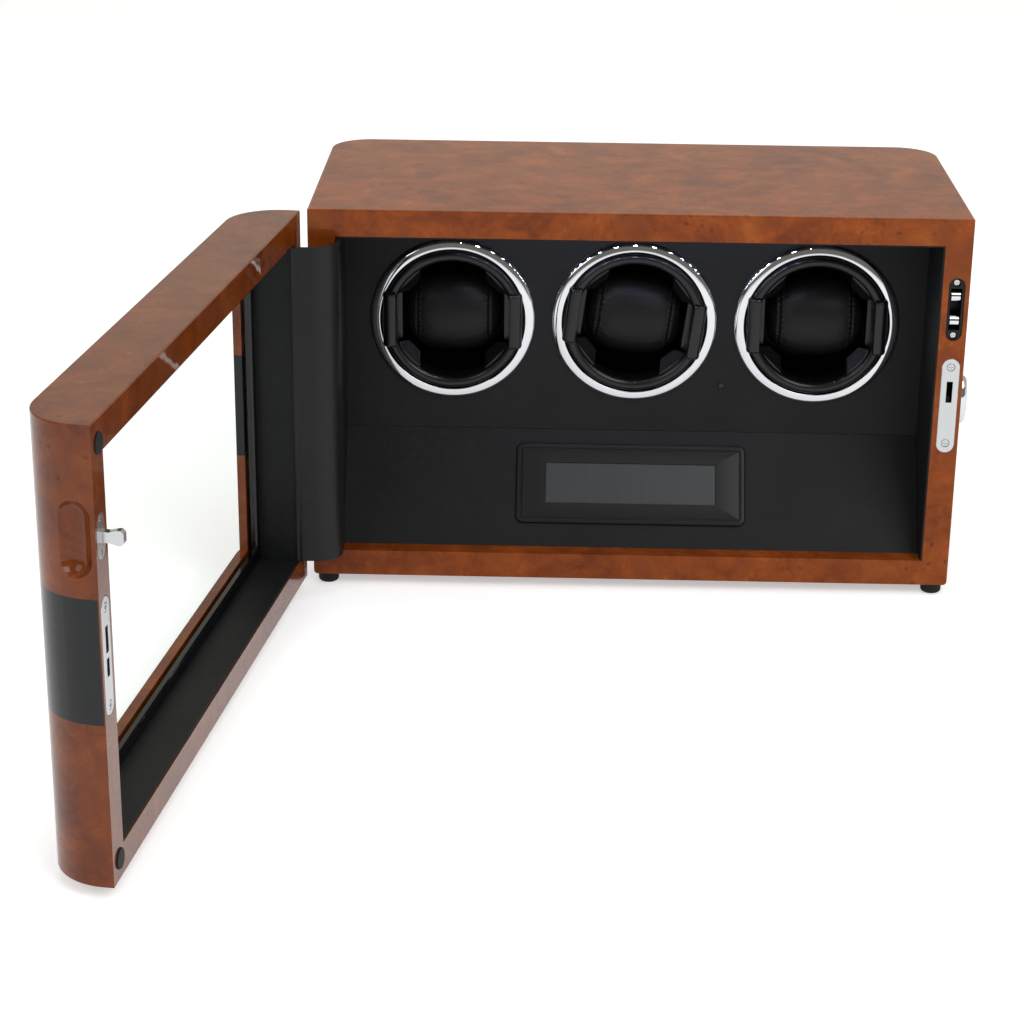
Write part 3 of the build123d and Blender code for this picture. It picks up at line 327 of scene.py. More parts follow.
def displayWindow(name):
    material, tree, shader = newMaterial(name, Roughness=0.30, Specular_IOR_Level=0.35)
    place = addNode(tree, "ShaderNodeTexCoord").outputs["Object"]
    waveScale = 2 * pi * perMetre(display["bandMm"]) / 20  # the wave texture turns 20 radians a metre at 1
    bands = addNode(tree, "ShaderNodeTexWave", {"Vector": place, "Scale": waveScale}, bands_direction="X")
    cloud = addNode(tree, "ShaderNodeTexNoise", {"Vector": place, "Scale": perMetre(display["cloudMm"])})
    blend = addNode(tree, "ShaderNodeMath",
                    {0: bands.outputs["Fac"], 1: display["bandShare"], 2: cloud}, operation="MULTIPLY_ADD")
    colour = addNode(tree, "ShaderNodeValToRGB", {"Fac": blend})
    setStops(colour, [(0.3, display["grey"]), (0.9, display["pale"])])
    tree.links.new(colour.outputs[0], shader.inputs["Base Color"])
    return material


# White light-emitting chip: yellow phosphor over a blue die, so it glows a cold white.
chipFace = {"grainMm": 1.5, "deep": "#E4D98A", "pale": "#F1EBC4"}


def glowing(name, colour, strength):
    material, tree, shader = newMaterial(name, Roughness=0.4, Emission_Color=linearColour(colour),
                                         Emission_Strength=strength)
    place = addNode(tree, "ShaderNodeTexCoord").outputs["Object"]
    mottle = addNode(tree, "ShaderNodeTexNoise", {"Vector": place, "Scale": perMetre(chipFace["grainMm"])})
    face = addNode(tree, "ShaderNodeValToRGB", {"Fac": mottle})
    setStops(face, [(0.3, chipFace["deep"]), (0.7, chipFace["pale"])])
    tree.links.new(face.outputs[0], shader.inputs["Base Color"])
    return material


finish = {
    "burl": burlLacquer("lacqueredBurlVeneer"),
    "shadedDoorBurl": burlLacquer("lacqueredBurlVeneerShadedWithBand", bandedAndShaded=True),
    "lining": leatherette("blackLeatherette", leather["base"], leather["high"]),
    "pillow": leatherette("blackPillowLeatherette", "#111213", "#181819", 0.42, 0.45),  # smoother, as stuffed
    "flap": leatherette("softVinylStrip", leather["base"], leather["high"], 0.42, 0.25, 0.32),
    "chrome": metal("polishedChrome", "#DADCE0", 0.05, smudge=0.02, bumpStrength=0.0),  # a cold, clean mirror
    # Black ABS, from a hard shine on the holders to a soft sheen on the cups and a fine grain on the bezel
    "glossBlack": mouldedPlastic("pianoBlackAbs", "#08080A", 0.20, 0.8, 0.0, coat=0.35, specular=0.25),
    "holder": mouldedPlastic("polishedBlackAbs", "#0C0C0E", 0.33, 0.8, 0.0, coat=0.25, specular=0.3),
    "satinBlack": mouldedPlastic("satinBlackAbs", "#0E0E10", 0.42, specular=0.3),
    "bezel": mouldedPlastic("grainedBlackAbs", "#121315", 0.42, 0.7, 0.25, specular=0.3),
    "display": displayWindow("liquidCrystalWindow"),
    "steel": metal("satinNickelSteel", "#C9CACC", 0.24, brushAlong="Z"),  # pale, with a soft upright streak
    "zinc": metal("zincPlatedSteel", "#9FA3A6", 0.36),  # dull bluish grey
    "blackSteel": metal("blackenedSteel", "#2A2A2C", 0.4),  # nearly black, with a faint metal shine
    "brass": metal("turnedBrass", "#C9A45C", 0.25),  # warm yellow
    "acetal": mouldedPlastic("whiteAcetal", "#DDDDD4", 0.45),  # milky and a little waxy
    "board": mouldedPlastic("greenSolderMask", "#12492B", 0.35),  # deep green, with the shine of resin
    "glass": clearGlass("floatGlass"),
    "rubber": mouldedPlastic("blackRubber", "#101011", 0.62, 0.6, 0.3, specular=0.3),  # dull and dusty black
    "led": glowing("whiteLedPhosphor", "#D5DAFF", 90.0),
    "thread": mouldedPlastic("blackPolyesterThread", "#26272A", 0.6, 0.2, 0.3),  # a grey shimmer on black
}
print("materials made:", len(finish))

nodeFinish = {
    "burl": ["case_top", "case_bottom", "case_left_side", "case_right_side", "case_back"],
    "shadedDoorBurl": ["door_frame"],
    "lining": ["case_lining", "faceplate", "console_panel", "door_lining"],
    "flap": ["hinge_cover"],
    "pillow": ["pillow_1", "pillow_2", "pillow_3"],
    "chrome": ["ring_1", "ring_2", "ring_3", "key_escutcheon", "catch_roller_upper", "catch_roller_lower"],
    "glossBlack": ["pillow_holder_1", "pillow_holder_2", "pillow_holder_3", "glass_bead", "remote_sensor"],
    "satinBlack": ["cup_1", "cup_2", "cup_3", "rear_cover", "power_inlet", "light_strip", "catch_housing"],
    "bezel": ["display_bezel"],
    "display": ["display_screen"],
    "steel": ["lock_plate", "door_lock_plate", "catch_tongue", "case_screws", "door_screws",
              "case_hinge_leaves", "door_hinge_leaves", "hinge_pins"],
    "zinc": ["motor_plate", "motor_1", "motor_2", "motor_3"],
    "blackSteel": ["lock_case", "lock_claw", "lock_plug"],
    "brass": ["axle_bushes", "pinion_1", "pinion_2", "pinion_3"],
    "acetal": ["drive_gear_1", "drive_gear_2", "drive_gear_3"],
    "board": ["control_board"],
    "glass": ["door_glass"],
    "rubber": ["feet", "door_bumpers"],
}
for key, names in nodeFinish.items():
    for name in names:
        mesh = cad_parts[name].data
        mesh.materials.clear()
        mesh.materials.append(finish[key])
print("finishes put on the nodes")


# Smooth shading, except over creases sharper than the angle.
def smoothByAngle(mesh, sharpAngle):
    mesh.shade_smooth()
    mesh.set_sharp_from_angle(angle=radians(sharpAngle))


def meshFrom(name, vertices, faces, sharpAngle=35.0):
    mesh = bpy.data.meshes.new(name)
    mesh.from_pydata([Vector(v) * mm for v in vertices], [], faces)
    shape = bmesh.new()
    shape.from_mesh(mesh)
    bmesh.ops.remove_doubles(shape, verts=shape.verts, dist=1e-6)
    bmesh.ops.dissolve_degenerate(shape, edges=shape.edges, dist=1e-7)
    bmesh.ops.recalc_face_normals(shape, faces=shape.faces)
    shape.to_mesh(mesh)
    shape.free()
    smoothByAngle(mesh, sharpAngle)
    return mesh


def linkedObject(name, data):
    made = bpy.data.objects.new(name, data)
    bpy.context.scene.collection.objects.link(made)
    return made


def newPiece(name, mesh, material, body, slot, *replaced):
    piece = linkedObject(name, mesh)
    mesh.materials.clear()
    mesh.materials.append(material)
    if body:
        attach(piece, body)
    if replaced:
        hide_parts(*replaced)
    return piece


def plainMesh(holder):
    bpy.context.view_layer.update()
    evaluated = holder.evaluated_get(bpy.context.evaluated_depsgraph_get())
    mesh = bpy.data.meshes.new_from_object(evaluated)
    old = holder.data
    bpy.data.objects.remove(holder)
    if old.users == 0:
        bpy.data.meshes.remove(old)
    return mesh


# The points round one corner of a path; a corner is (a, b, radius), and radius 0 leaves it sharp.
def cornerArc(previous, corner, following, steps):
    here, radius = Vector(corner[:2]), corner[2]
    if radius == 0:
        return [here]
    before = (Vector(previous[:2]) - here).normalized()
    after = (Vector(following[:2]) - here).normalized()
    half = before.angle(after) / 2
    centre = here + (before + after).normalized() * radius / sin(half)
    first = here + before * radius / tan(half) - centre
    last = here + after * radius / tan(half) - centre
    start = atan2(first.y, first.x)
    sweep = (atan2(last.y, last.x) - start + pi) % (2 * pi) - pi
    turns = [start + sweep * k / steps for k in range(steps + 1)]
    return [centre + Vector((cos(turn), sin(turn))) * radius for turn in turns]


# The path round a closed outline of corners, in order.
def roundedLoop(corners, steps=6):
    path = []
    for i, corner in enumerate(corners):
        following = corners[(i + 1) % len(corners)]
        path += [tuple(point) for point in cornerArc(corners[i - 1], corner, following, steps)]
    return path


# A ring-shaped solid about the Y axis, from its closed (radius, y) section.
def turnedShape(section, segments):
    rings = []
    for k in range(segments):
        turn = 2 * pi * k / segments
        rings.append([(radius * cos(turn), y, radius * sin(turn)) for radius, y in section])
    return stackedShape(rings, closed=True)


# A solid made of rings of points, joined one to the next, and closed by its first and last ring.
def stackedShape(rings, closed=False):
    count = len(rings[0])
    vertices = [point for ring in rings for point in ring]
    faces = []
    for level in range(len(rings) if closed else len(rings) - 1):
        low, high = level * count, (level + 1) % len(rings) * count
        for i in range(count):
            j = (i + 1) % count
            faces.append((low + i, low + j, high + j, high + i))
    if not closed:
        faces.append(tuple(reversed(range(count))))
        faces.append(tuple(range(len(vertices) - count, len(vertices))))
    return vertices, faces


# The outline moved inwards by a distance, point by point; outlines here have round corners.
def insetLoop(outline, distance):
    moved = []
    for i, point in enumerate(outline):
        before, after = Vector(outline[i - 1]), Vector(outline[(i + 1) % len(outline)])
        along = (after - before).normalized()
        moved.append((point[0] - along.y * distance, point[1] + along.x * distance))
    return moved


def joinShapes(shapes):
    vertices, faces = [], []
    for shapeVertices, shapeFaces in shapes:
        start = len(vertices)
        vertices += shapeVertices
        faces += [tuple(index + start for index in face) for face in shapeFaces]
    return vertices, faces


def putAtStation(mesh, number, turned=True):
    turn = Matrix.Rotation(radians(cupTurns[number - 1] if turned else 0.0), 4, "Y")
    mesh.transform(Matrix.Translation((stationX[number - 1], 0, stationZ)) @ turn)


# Chrome rings: a domed front, highest near the bore, so that it mirrors the light strip, and a rolled rim.
chromeRing = {"bore": 43.9, "flange": 50.4, "tube": 46.4, "proud": 3.2, "dome": 17.0, "crest": 43.4,
              "lip": 0.5, "lipDepth": 0.6, "lipChamfer": 0.15, "roll": 2.5, "back": -30.0,
              "segments": 192, "domeSteps": 12, "rollSteps": 6}


def ringSection():
    ring = chromeRing
    face = faceplateY / mm
    middle = face - ring["proud"] + ring["dome"]
    first, last = ring["bore"] + ring["lip"], ring["flange"] - ring["roll"]
    dome = []
    for k in range(ring["domeSteps"] + 1):
        radius = first + (last - first) * k / ring["domeSteps"]
        dome.append((radius, middle - sqrt(ring["dome"] ** 2 - (radius - ring["crest"]) ** 2)))
    domeEnd = dome[-1][1]
    start = asin((last - ring["crest"]) / ring["dome"])
    rollRadius = ring["roll"] / (1 - sin(start))
    end = acos(cos(start) - (face - domeEnd) / rollRadius)
    for k in range(1, ring["rollSteps"] + 1):
        turn = start + (end - start) * k / ring["rollSteps"]
        dome.append((last + rollRadius * (sin(turn) - sin(start)),
                     domeEnd + rollRadius * (cos(start) - cos(turn))))
    lipFace, chamfer = dome[0][1], ring["lipChamfer"]
    lip = [(ring["bore"], lipFace + ring["lipDepth"]), (ring["bore"] + chamfer, lipFace + chamfer)]
    foot = [(ring["tube"], face), (ring["tube"], ring["back"]), (ring["bore"], ring["back"])]
    return lip + dome + foot


def makeChromeRing(number):
    mesh = meshFrom("chromeRing", *turnedShape(ringSection(), chromeRing["segments"]), 50.0)
    putAtStation(mesh, number, turned=False)
    newPiece(f"chromeRing{number}", mesh, finish["chrome"], "case", "chrome", f"ring_{number}")


for number in (1, 2, 3):
    makeChromeRing(number)
print("chrome rings made")


# Pull-out holders: a rounded ring, four sloping facets in its throat, two grips and two cheeks.
pullHolder = {
    "outer": 43.4, "inner": 36.4, "front": -43.8, "throat": -31.0, "skirtY": -24.0, "skirtWall": 2.0,
    "segments": 192, "lipSteps": 16, "facetFront": -41.0, "facetBack": -34.0, "wideFlat": 35.4,
    "narrowFlat": 30.0, "strapHalf": 20.0, "sideHalf": 15.5, "facetOverlap": 0.3, "facetBevel": 0.35,
    "gripInner": 34.4, "gripOuter": 43.3, "gripHalf": 17.2, "gripBow": 110.0, "gripBack": -42.6,
    "gripFront": -46.4, "gripFlat": 0.42, "gripRoll": 2.2, "gripEdge": 0.6, "gripEnd": 2.0,
    "gripEndDraw": 0.9, "gripEndHeight": 0.45, "cheekInner": 31.0, "cheekOuter": 34.2, "cheekHalf": 15.0,
    "cheekBack": 4.0, "cheekFront": -32.9, "cheekCorner": 1.2, "cheekRound": 0.8, "bridgeBack": -30.0,
    "bridgeFront": -33.0, "bridgeCorner": 0.6, "bridgeRound": 0.3, "bridgeOverlap": 0.8,
}


def holderSection():
    size = pullHolder
    lip = (size["outer"] - size["inner"]) / 2
    middle = size["inner"] + lip
    section = []
    for k in range(size["lipSteps"] + 1):
        turn = pi * k / size["lipSteps"]
        section.append((middle + lip * cos(turn), size["front"] + lip * (1 - sin(turn))))
    skirtInner = size["outer"] - size["skirtWall"]
    section += [(size["inner"], size["throat"]), (skirtInner, size["throat"])]
    return section + [(skirtInner, size["skirtY"]), (size["outer"], size["skirtY"])]


# One facet: a corner of the throat, sliced by a slope that runs inwards and back.
def facetShape(sideX, sideZ):
    size = pullHolder
    reach = size["inner"] + size["facetOverlap"]
    low = atan2(size["sideHalf"], sqrt(reach ** 2 - size["sideHalf"] ** 2))
    high = atan2(sqrt(reach ** 2 - size["strapHalf"] ** 2), size["strapHalf"])
    steps = 10
    turns = [low + (high - low) * k / steps for k in range(steps + 1)]
    outline = [(size["strapHalf"], size["sideHalf"])]
    outline += [(reach * cos(turn), reach * sin(turn)) for turn in turns]
    depths = (size["facetBack"], size["facetFront"])
    vertices, faces = stackedShape([[(x, depth, z) for x, z in outline] for depth in depths])
    shape = bmesh.new()
    made = [shape.verts.new(v) for v in vertices]
    for face in faces:
        shape.faces.new([made[i] for i in face])
    slope = (size["wideFlat"] - size["narrowFlat"]) / (size["facetBack"] - size["facetFront"])
    along = size["narrowFlat"] / sqrt(2)
    cut = bmesh.ops.bisect_plane(shape, geom=shape.verts[:] + shape.edges[:] + shape.faces[:],
                                 plane_co=(along, size["facetBack"], along),
                                 plane_no=(sqrt(0.5), slope, sqrt(0.5)), clear_inner=True)
    rim = [part for part in cut["geom_cut"] if isinstance(part, bmesh.types.BMEdge)]
    bmesh.ops.edgeloop_fill(shape, edges=rim)
    bmesh.ops.recalc_face_normals(shape, faces=shape.faces)
    creases = [edge for edge in shape.edges if edge.calc_face_angle(0) > 0.6]  # radians
    bmesh.ops.bevel(shape, geom=creases, offset=size["facetBevel"], segments=2, affect="EDGES",
                    clamp_overlap=True)
    shape.verts.index_update()
    vertices = [(v.co.x * sideX, v.co.y, v.co.z * sideZ) for v in shape.verts]
    faces = [tuple(v.index for v in face.verts) for face in shape.faces]
    shape.free()
    return vertices, faces


# A slab lying in the XZ plane, with its front edge rounded off; the outline runs anticlockwise.
def roundedSlab(outline, back, front, radius):
    chamfer, steps = 0.3, 6
    rings = [[(x, back, z) for x, z in insetLoop(outline, chamfer)],
             [(x, back - chamfer, z) for x, z in outline]]
    for k in range(steps + 1):
        turn = pi / 2 * k / steps
        inset, depth = radius * (1 - cos(turn)), front + radius * (1 - sin(turn))
        rings.append([(x, depth, z) for x, z in insetLoop(outline, inset)])
    return stackedShape(rings)


# A grip: flat beside the pillow, rolling back to its bowed outer edge, with rounded ends.
def gripShape(side):
    size = pullHolder
    inner, edge, flat = size["gripInner"], size["gripEdge"], size["gripFlat"]
    endSteps, rollSteps = 8, 10
    quarter = [pi / 2 * k / endSteps for k in range(endSteps + 1)]
    ends = [(size["gripHalf"] - size["gripEnd"] * (1 - cos(turn)), sin(turn)) for turn in quarter]
    rows = [(-z, full) for z, full in ends] + list(reversed(ends))
    rings = []
    for z, full in rows:
        bowed = size["gripOuter"] - size["gripBow"] + sqrt(size["gripBow"] ** 2 - z * z)
        outer = bowed - size["gripEndDraw"] * (1 - full)
        fullness = size["gripEndHeight"] + (1 - size["gripEndHeight"]) * full
        high = (size["gripBack"] - size["gripFront"]) * fullness
        ring = [(inner, 0.0), (inner, high - edge)]
        ring += [(inner + edge / 3, high - edge * 0.3), (inner + edge, high)]
        for step in range(rollSteps + 1):
            roll = step / rollSteps
            share = flat + (1 - flat) * roll
            ring.append((inner + (outer - inner) * share, high * sqrt(1 - roll ** size["gripRoll"])))
        rings.append([(side * x, size["gripBack"] - rise, z) for x, rise in ring])
    return stackedShape(rings)


def holderSide(side):
    size = pullHolder
    half = size["cheekHalf"]

    def boxOutline(inner, outer, radius):
        corners = [(inner, -half), (outer, -half), (outer, half), (inner, half)]
        loop = roundedLoop([corner + (radius,) for corner in corners])
        return loop if side > 0 else [(-x, z) for x, z in reversed(loop)]

    cheek = boxOutline(size["cheekInner"], size["cheekOuter"], size["cheekCorner"])
    bridge = boxOutline(size["cheekInner"], size["inner"] + size["bridgeOverlap"], size["bridgeCorner"])
    return [gripShape(side), roundedSlab(cheek, size["cheekBack"], size["cheekFront"], size["cheekRound"]),
            roundedSlab(bridge, size["bridgeBack"], size["bridgeFront"], size["bridgeRound"])]


def makePullHolder(number):
    shapes = [turnedShape(holderSection(), pullHolder["segments"])] + holderSide(1) + holderSide(-1)
    shapes += [facetShape(sideX, sideZ) for sideX in (-1, 1) for sideZ in (-1, 1)]
    mesh = meshFrom("pullHolder", *joinShapes(shapes), 33.0)
    putAtStation(mesh, number)
    newPiece(f"pullHolder{number}", mesh, finish["holder"], f"watch_holder_{number}", "gloss_black",
             f"pillow_holder_{number}")


for number in (1, 2, 3):
    makePullHolder(number)
print("watch holders made")


# Things repeated along a line of points: stitches lie along it, chips face as the world does.
def repeatTree(kind):
    tree = bpy.data.node_groups.new(f"{kind}Row", "GeometryNodeTree")
    sockets = {}
    for label, socketKind in (("Line", "NodeSocketGeometry"), ("Spacing", "NodeSocketFloat"),
                              ("Size", "NodeSocketVector"), ("Material", "NodeSocketMaterial")):
        sockets[label] = tree.interface.new_socket(name=label, in_out="INPUT", socket_type=socketKind)
    tree.interface.new_socket(name="Geometry", in_out="OUTPUT", socket_type="NodeSocketGeometry")
    given = addNode(tree, "NodeGroupInput")
    curve = addNode(tree, "GeometryNodeMeshToCurve", {"Mesh": given.outputs["Line"]})
    points = addNode(tree, "GeometryNodeCurveToPoints",
                     {"Curve": curve, "Length": given.outputs["Spacing"]}, mode="LENGTH")
    if kind == "stitch":
        shape = addNode(tree, "GeometryNodeMeshUVSphere", {"Segments": 8, "Rings": 6, "Radius": 0.5})
        extra = {"Rotation": points.outputs["Rotation"]}
    else:
        shape = addNode(tree, "GeometryNodeMeshCube", {"Size": (1, 1, 1)})
        extra = {}
    placed = addNode(tree, "GeometryNodeInstanceOnPoints",
                     {"Points": points, "Instance": shape, "Scale": given.outputs["Size"], **extra})
    real = addNode(tree, "GeometryNodeRealizeInstances", {"Geometry": placed})
    painted = addNode(tree, "GeometryNodeSetMaterial",
                      {"Geometry": real, "Material": given.outputs["Material"]})
    addNode(tree, "NodeGroupOutput", {"Geometry": painted})
    return tree, {label: socket.identifier for label, socket in sockets.items()}


repeatTrees = {kind: repeatTree(kind) for kind in ("stitch", "chip")}


def repeatAlong(kind, points, spacing, size, material):
    line = bpy.data.meshes.new("line")
    line.from_pydata(points, [(i, i + 1) for i in range(len(points) - 1)], [])
    holder = linkedObject("line", line)
    tree, identifiers = repeatTrees[kind]
    modifier = holder.modifiers.new("repeat", "NODES")
    modifier.node_group = tree
    modifier[identifiers["Spacing"]] = spacing
    modifier[identifiers["Size"]] = size
    modifier[identifiers["Material"]] = material
    mesh = plainMesh(holder)
    smoothByAngle(mesh, 35.0)
    return mesh


# Light strip: a row of surface-mounted chips under the ceiling, whose reflections dot the rings.
lightRow = {"halfLength": 106.2, "spacing": 17.7, "chip": (3.5, 2.8, 0.9), "down": 1.0}


def makeLightRow():
    low, high = (Vector(corner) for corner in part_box("light_strip"))
    middle = (low + high) / 2
    chip = Vector(lightRow["chip"]) * mm
    height = high.z - lightRow["down"] * mm - chip.z / 2
    half = lightRow["halfLength"] * mm
    points = [(middle.x + share * half, middle.y, height) for share in (-1, 0, 1)]
    mesh = repeatAlong("chip", points, lightRow["spacing"] * mm, chip, finish["led"])
    newPiece("ledChips", mesh, finish["led"], "case", "white_acetal")


makeLightRow()
print("light chips made")


# Watch pillows: stuffed leatherette rolls with a sewn end panel each side.
pillowRoll = {
    "halfWidth": 29.6, "halfHeight": 24.4, "halfDepth": 18.2, "centreY": 19.0, "endPower": 3.6,
    "girthPower": 2.6, "taper": 0.10, "voxelMm": 2.4, "pressure": 4.0, "frames": 20, "capMm": 1.1,
    "seamX": 22.0, "seamDepthMm": 0.75, "seamWidthMm": 0.9, "puckers": 34, "puckerMm": 0.16,
    "puckerWidthMm": 4.0, "stitchSpacingMm": 3.4, "stitch": (0.55, 0.55, 2.3), "stitchInset": 1.9,
    "stitchProud": 0.05,
}


def pillowStart():
    size = pillowRoll
    around, along = 48, 26
    rings = []
    for k in range(1, along):
        share = -cos(pi * k / along)
        girth = (1 - abs(share) ** size["endPower"]) ** (1 / size["girthPower"])
        girth *= 1 - size["taper"] * share * share
        ring = []
        for i in range(around):
            turn = 2 * pi * i / around
            ring.append((share * size["halfWidth"], girth * size["halfDepth"] * cos(turn),
                         girth * size["halfHeight"] * sin(turn)))
        rings.append(ring)
    return meshFrom("pillowStart", *stackedShape(rings))


# The roll is remeshed, blown up as cloth, and held near its start, as stuffing holds it.
def stuffed(mesh):
    size = pillowRoll
    holder = linkedObject("pillowCloth", mesh)
    remesh = holder.modifiers.new("remesh", "REMESH")
    remesh.mode = "VOXEL"
    remesh.voxel_size = size["voxelMm"] * mm
    start = plainMesh(holder)
    places = [vertex.co.copy() for vertex in start.vertices]
    holder = linkedObject("pillowCloth", start)
    cloth = holder.modifiers.new("cloth", "CLOTH")
    cloth.settings.use_pressure = True
    cloth.settings.uniform_pressure_force = size["pressure"]
    cloth.settings.effector_weights.gravity = 0.0
    scene = bpy.context.scene
    for step in range(1, size["frames"] + 1):
        scene.frame_set(step)
    swollen = plainMesh(holder)
    scene.frame_set(1)
    for vertex, place in zip(swollen.vertices, places):
        moved = vertex.co - place
        if moved.length > size["capMm"] * mm:
            vertex.co = place + moved.normalized() * size["capMm"] * mm
    return swollen


def subdivided(mesh, levels):
    holder = linkedObject("finer", mesh)
    finer = holder.modifiers.new("finer", "SUBSURF")
    finer.levels = finer.render_levels = levels
    return plainMesh(holder)


# A sewn seam pulls a narrow groove into the roll, and the thread puckers the cloth beside it.
def sewSeams(mesh):
    size = pillowRoll
    for vertex in mesh.vertices:
        x, y, z = (value / mm for value in vertex.co)
        off = abs(abs(x) - size["seamX"])
        groove = size["seamDepthMm"] * exp(-(off / size["seamWidthMm"]) ** 2)
        pucker = size["puckerMm"] * exp(-(off / size["puckerWidthMm"]) ** 2)
        pucker *= cos(size["puckers"] * atan2(z, y))
        outward = Vector((0, y, z)).normalized()
        vertex.co -= outward * (groove + pucker) * mm
    mesh.update()


# The thread lies on the roll, where rays from outside meet it.
def seamStitches(mesh, x):
    size = pillowRoll
    tree = BVHTree.FromPolygons([v.co.copy() for v in mesh.vertices],
                                [tuple(p.vertices) for p in mesh.polygons])
    points = []
    steps = 96
    for k in range(steps + 1):
        turn = 2 * pi * k / steps
        outward = Vector((0, cos(turn), sin(turn)))
        hit = tree.ray_cast(Vector((x * mm, 0, 0)) + outward * 2 * size["halfHeight"] * mm, -outward)[0]
        points.append(hit + outward * size["stitchProud"] * mm)
    return repeatAlong("stitch", points, size["stitchSpacingMm"] * mm, Vector(size["stitch"]) * mm,
                       finish["thread"])


def makePillows():
    size = pillowRoll
    roll = subdivided(stuffed(pillowStart()), 2)
    sewSeams(roll)
    smoothByAngle(roll, 60.0)
    seams = [seamStitches(roll, side * (size["seamX"] - size["stitchInset"])) for side in (-1, 1)]
    shift = Matrix.Translation((0, faceplateY + size["centreY"] * mm, 0))
    for number in (1, 2, 3):
        mesh = roll.copy()
        mesh.transform(shift)
        putAtStation(mesh, number)
        pillow = newPiece(f"watchPillow{number}", mesh, finish["pillow"], f"watch_holder_{number}",
                          "leatherette", f"pillow_{number}")
        for side, seam in zip(("Left", "Right"), seams):
            thread = seam.copy()
            thread.transform(shift)
            putAtStation(thread, number)
            newPiece(f"pillowStitches{side}{number}", thread, finish["thread"], f"watch_holder_{number}",
                     "leatherette")
    bpy.data.meshes.remove(roll)
    for seam in seams:
        bpy.data.meshes.remove(seam)


makePillows()
print("pillows made")


# Hinge cover: a leatherette strip that bows out of the door's lining and turns into the case.
hingeStrip = {
    "corners": [(-199.8, -113.44, 0), (-197.9, -113.7, 3.0), (-174.9, -111.9, 13.0), (-174.9, -81.0, 0)],
    "step": 1.2, "bulge": 0.9, "thick": 1.1, "hem": 0.9, "hemWidth": 1.6, "low": 17.2, "high": 210.8,
    "rows": 40, "ripple": 0.22, "ripples": 2.3, "ripplePhase": 0.6,
    "followDoor": (-198.0, -113.7, 114.0), "followCase": (-174.9, -97.0, 114.0),
}


# A path with two free ends, whose long runs are cut into short steps.
def openPath(corners, step):
    path = []
    rounded = []
    for i, corner in enumerate(corners):
        following = corners[(i + 1) % len(corners)]
        rounded += cornerArc(corners[i - 1], corner, following, 12)
    for first, last in zip(rounded, rounded[1:]):
        count = max(1, round((last - first).length / step))
        path += [first.lerp(last, k / count) for k in range(count)]
    return path + [rounded[-1]]


def makeHingeStrip():
    size = hingeStrip
    path = openPath(size["corners"], size["step"])
    count = len(path)
    sides = []
    for i, point in enumerate(path):
        along = (path[min(i + 1, count - 1)] - path[max(i - 1, 0)]).normalized()
        outward = Vector((along.y, -along.x))
        bow = size["bulge"] * sin(pi * i / (count - 1)) ** 2
        hem = 1 + size["hem"] * exp(-((point - path[0]).length / size["hemWidth"]) ** 4)
        sides.append((point + outward * bow, outward * size["thick"] / 2 * hem))
    rings = []
    for row in range(size["rows"] + 1):
        share = row / size["rows"]
        z = size["low"] + (size["high"] - size["low"]) * share
        wave = size["ripple"] * sin(2 * pi * share * size["ripples"] + size["ripplePhase"])
        wave *= 1 - (2 * share - 1) ** 6
        front = [(p.x + n.x * (1 + wave), p.y + n.y * (1 + wave), z) for p, n in sides]
        back = [(p.x - n.x * (1 - wave), p.y - n.y * (1 - wave), z) for p, n in reversed(sides)]
        rings.append(front + back)
    mesh = meshFrom("hingeStrip", *stackedShape(rings), 60.0)
    strip = newPiece("hingeCoverStrip", mesh, finish["flap"], None, "leatherette", "hinge_cover")
    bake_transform(strip)


makeHingeStrip()
print("hinge cover made")


# Display bezel: a moulded frame with a soft rim, a shallow step inside it and the window's opening.
displayBezel = {"width": 140.5, "height": 50.7, "corner": 4.6, "down": 34.6, "proud": 2.4, "rimProud": 2.2,
                "step": 3.0, "base": -0.3, "window": (104.5, 25.8), "windowCorner": 0.5,
                "fold": (-39.0, 77.5), "foot": (-81.0, 16.0)}


def rectangleLoop(width, height, corner):
    x, y = width / 2, height / 2
    return roundedLoop([(-x, -y, corner), (x, -y, corner), (x, y, corner), (-x, y, corner)], 8)


def makeDisplayBezel():
    size = displayBezel
    (foldY, foldZ), (footY, footZ) = size["fold"], size["foot"]
    upSlope = Vector((0, foldY - footY, foldZ - footZ)).normalized()
    outward = Vector((1, 0, 0)).cross(upSlope)
    origin = Vector((0, foldY, foldZ)) - upSlope * size["down"]
    outline = rectangleLoop(size["width"], size["height"], size["corner"])
    window = rectangleLoop(*size["window"], size["windowCorner"])
    rim, top, step, base = size["rimProud"], size["proud"], size["step"], size["base"]
    # The section from the outside in, as (inset, height): a rounded rim, a shallow groove, the flat face
    levels = [(0.0, base), (0.0, rim - 1.1), (0.1, rim - 0.6), (0.4, rim - 0.2), (0.9, rim)]
    levels += [(step - 0.5, rim), (step - 0.1, rim - 0.35), (step + 0.3, rim - 0.35)]
    levels += [(step + 0.7, top - 0.1), (step + 1.0, top)]
    loops = [(insetLoop(outline, inset), height) for inset, height in levels]
    loops += [(window, top), (insetLoop(window, 0.2), top - 0.2), (insetLoop(window, 0.2), base)]
    rings = [[tuple(origin + Vector((x, 0, 0)) + upSlope * y + outward * height) for x, y in loop]
             for loop, height in loops]
    mesh = meshFrom("displayBezel", *stackedShape(rings, closed=True), 32.0)
    newPiece("displayBezelFrame", mesh, finish["bezel"], "case", "gloss_black", "display_bezel")


makeDisplayBezel()
print("display bezel made")


# Camera, at the photograph's angle, in millimetres and degrees.
camera = {"place": (-45.33, -1479.03, 579.46), "yaw": -1.103, "pitch": 21.163, "roll": 0.654,
          "focalMm": 86.62, "sensorMm": 36.0}


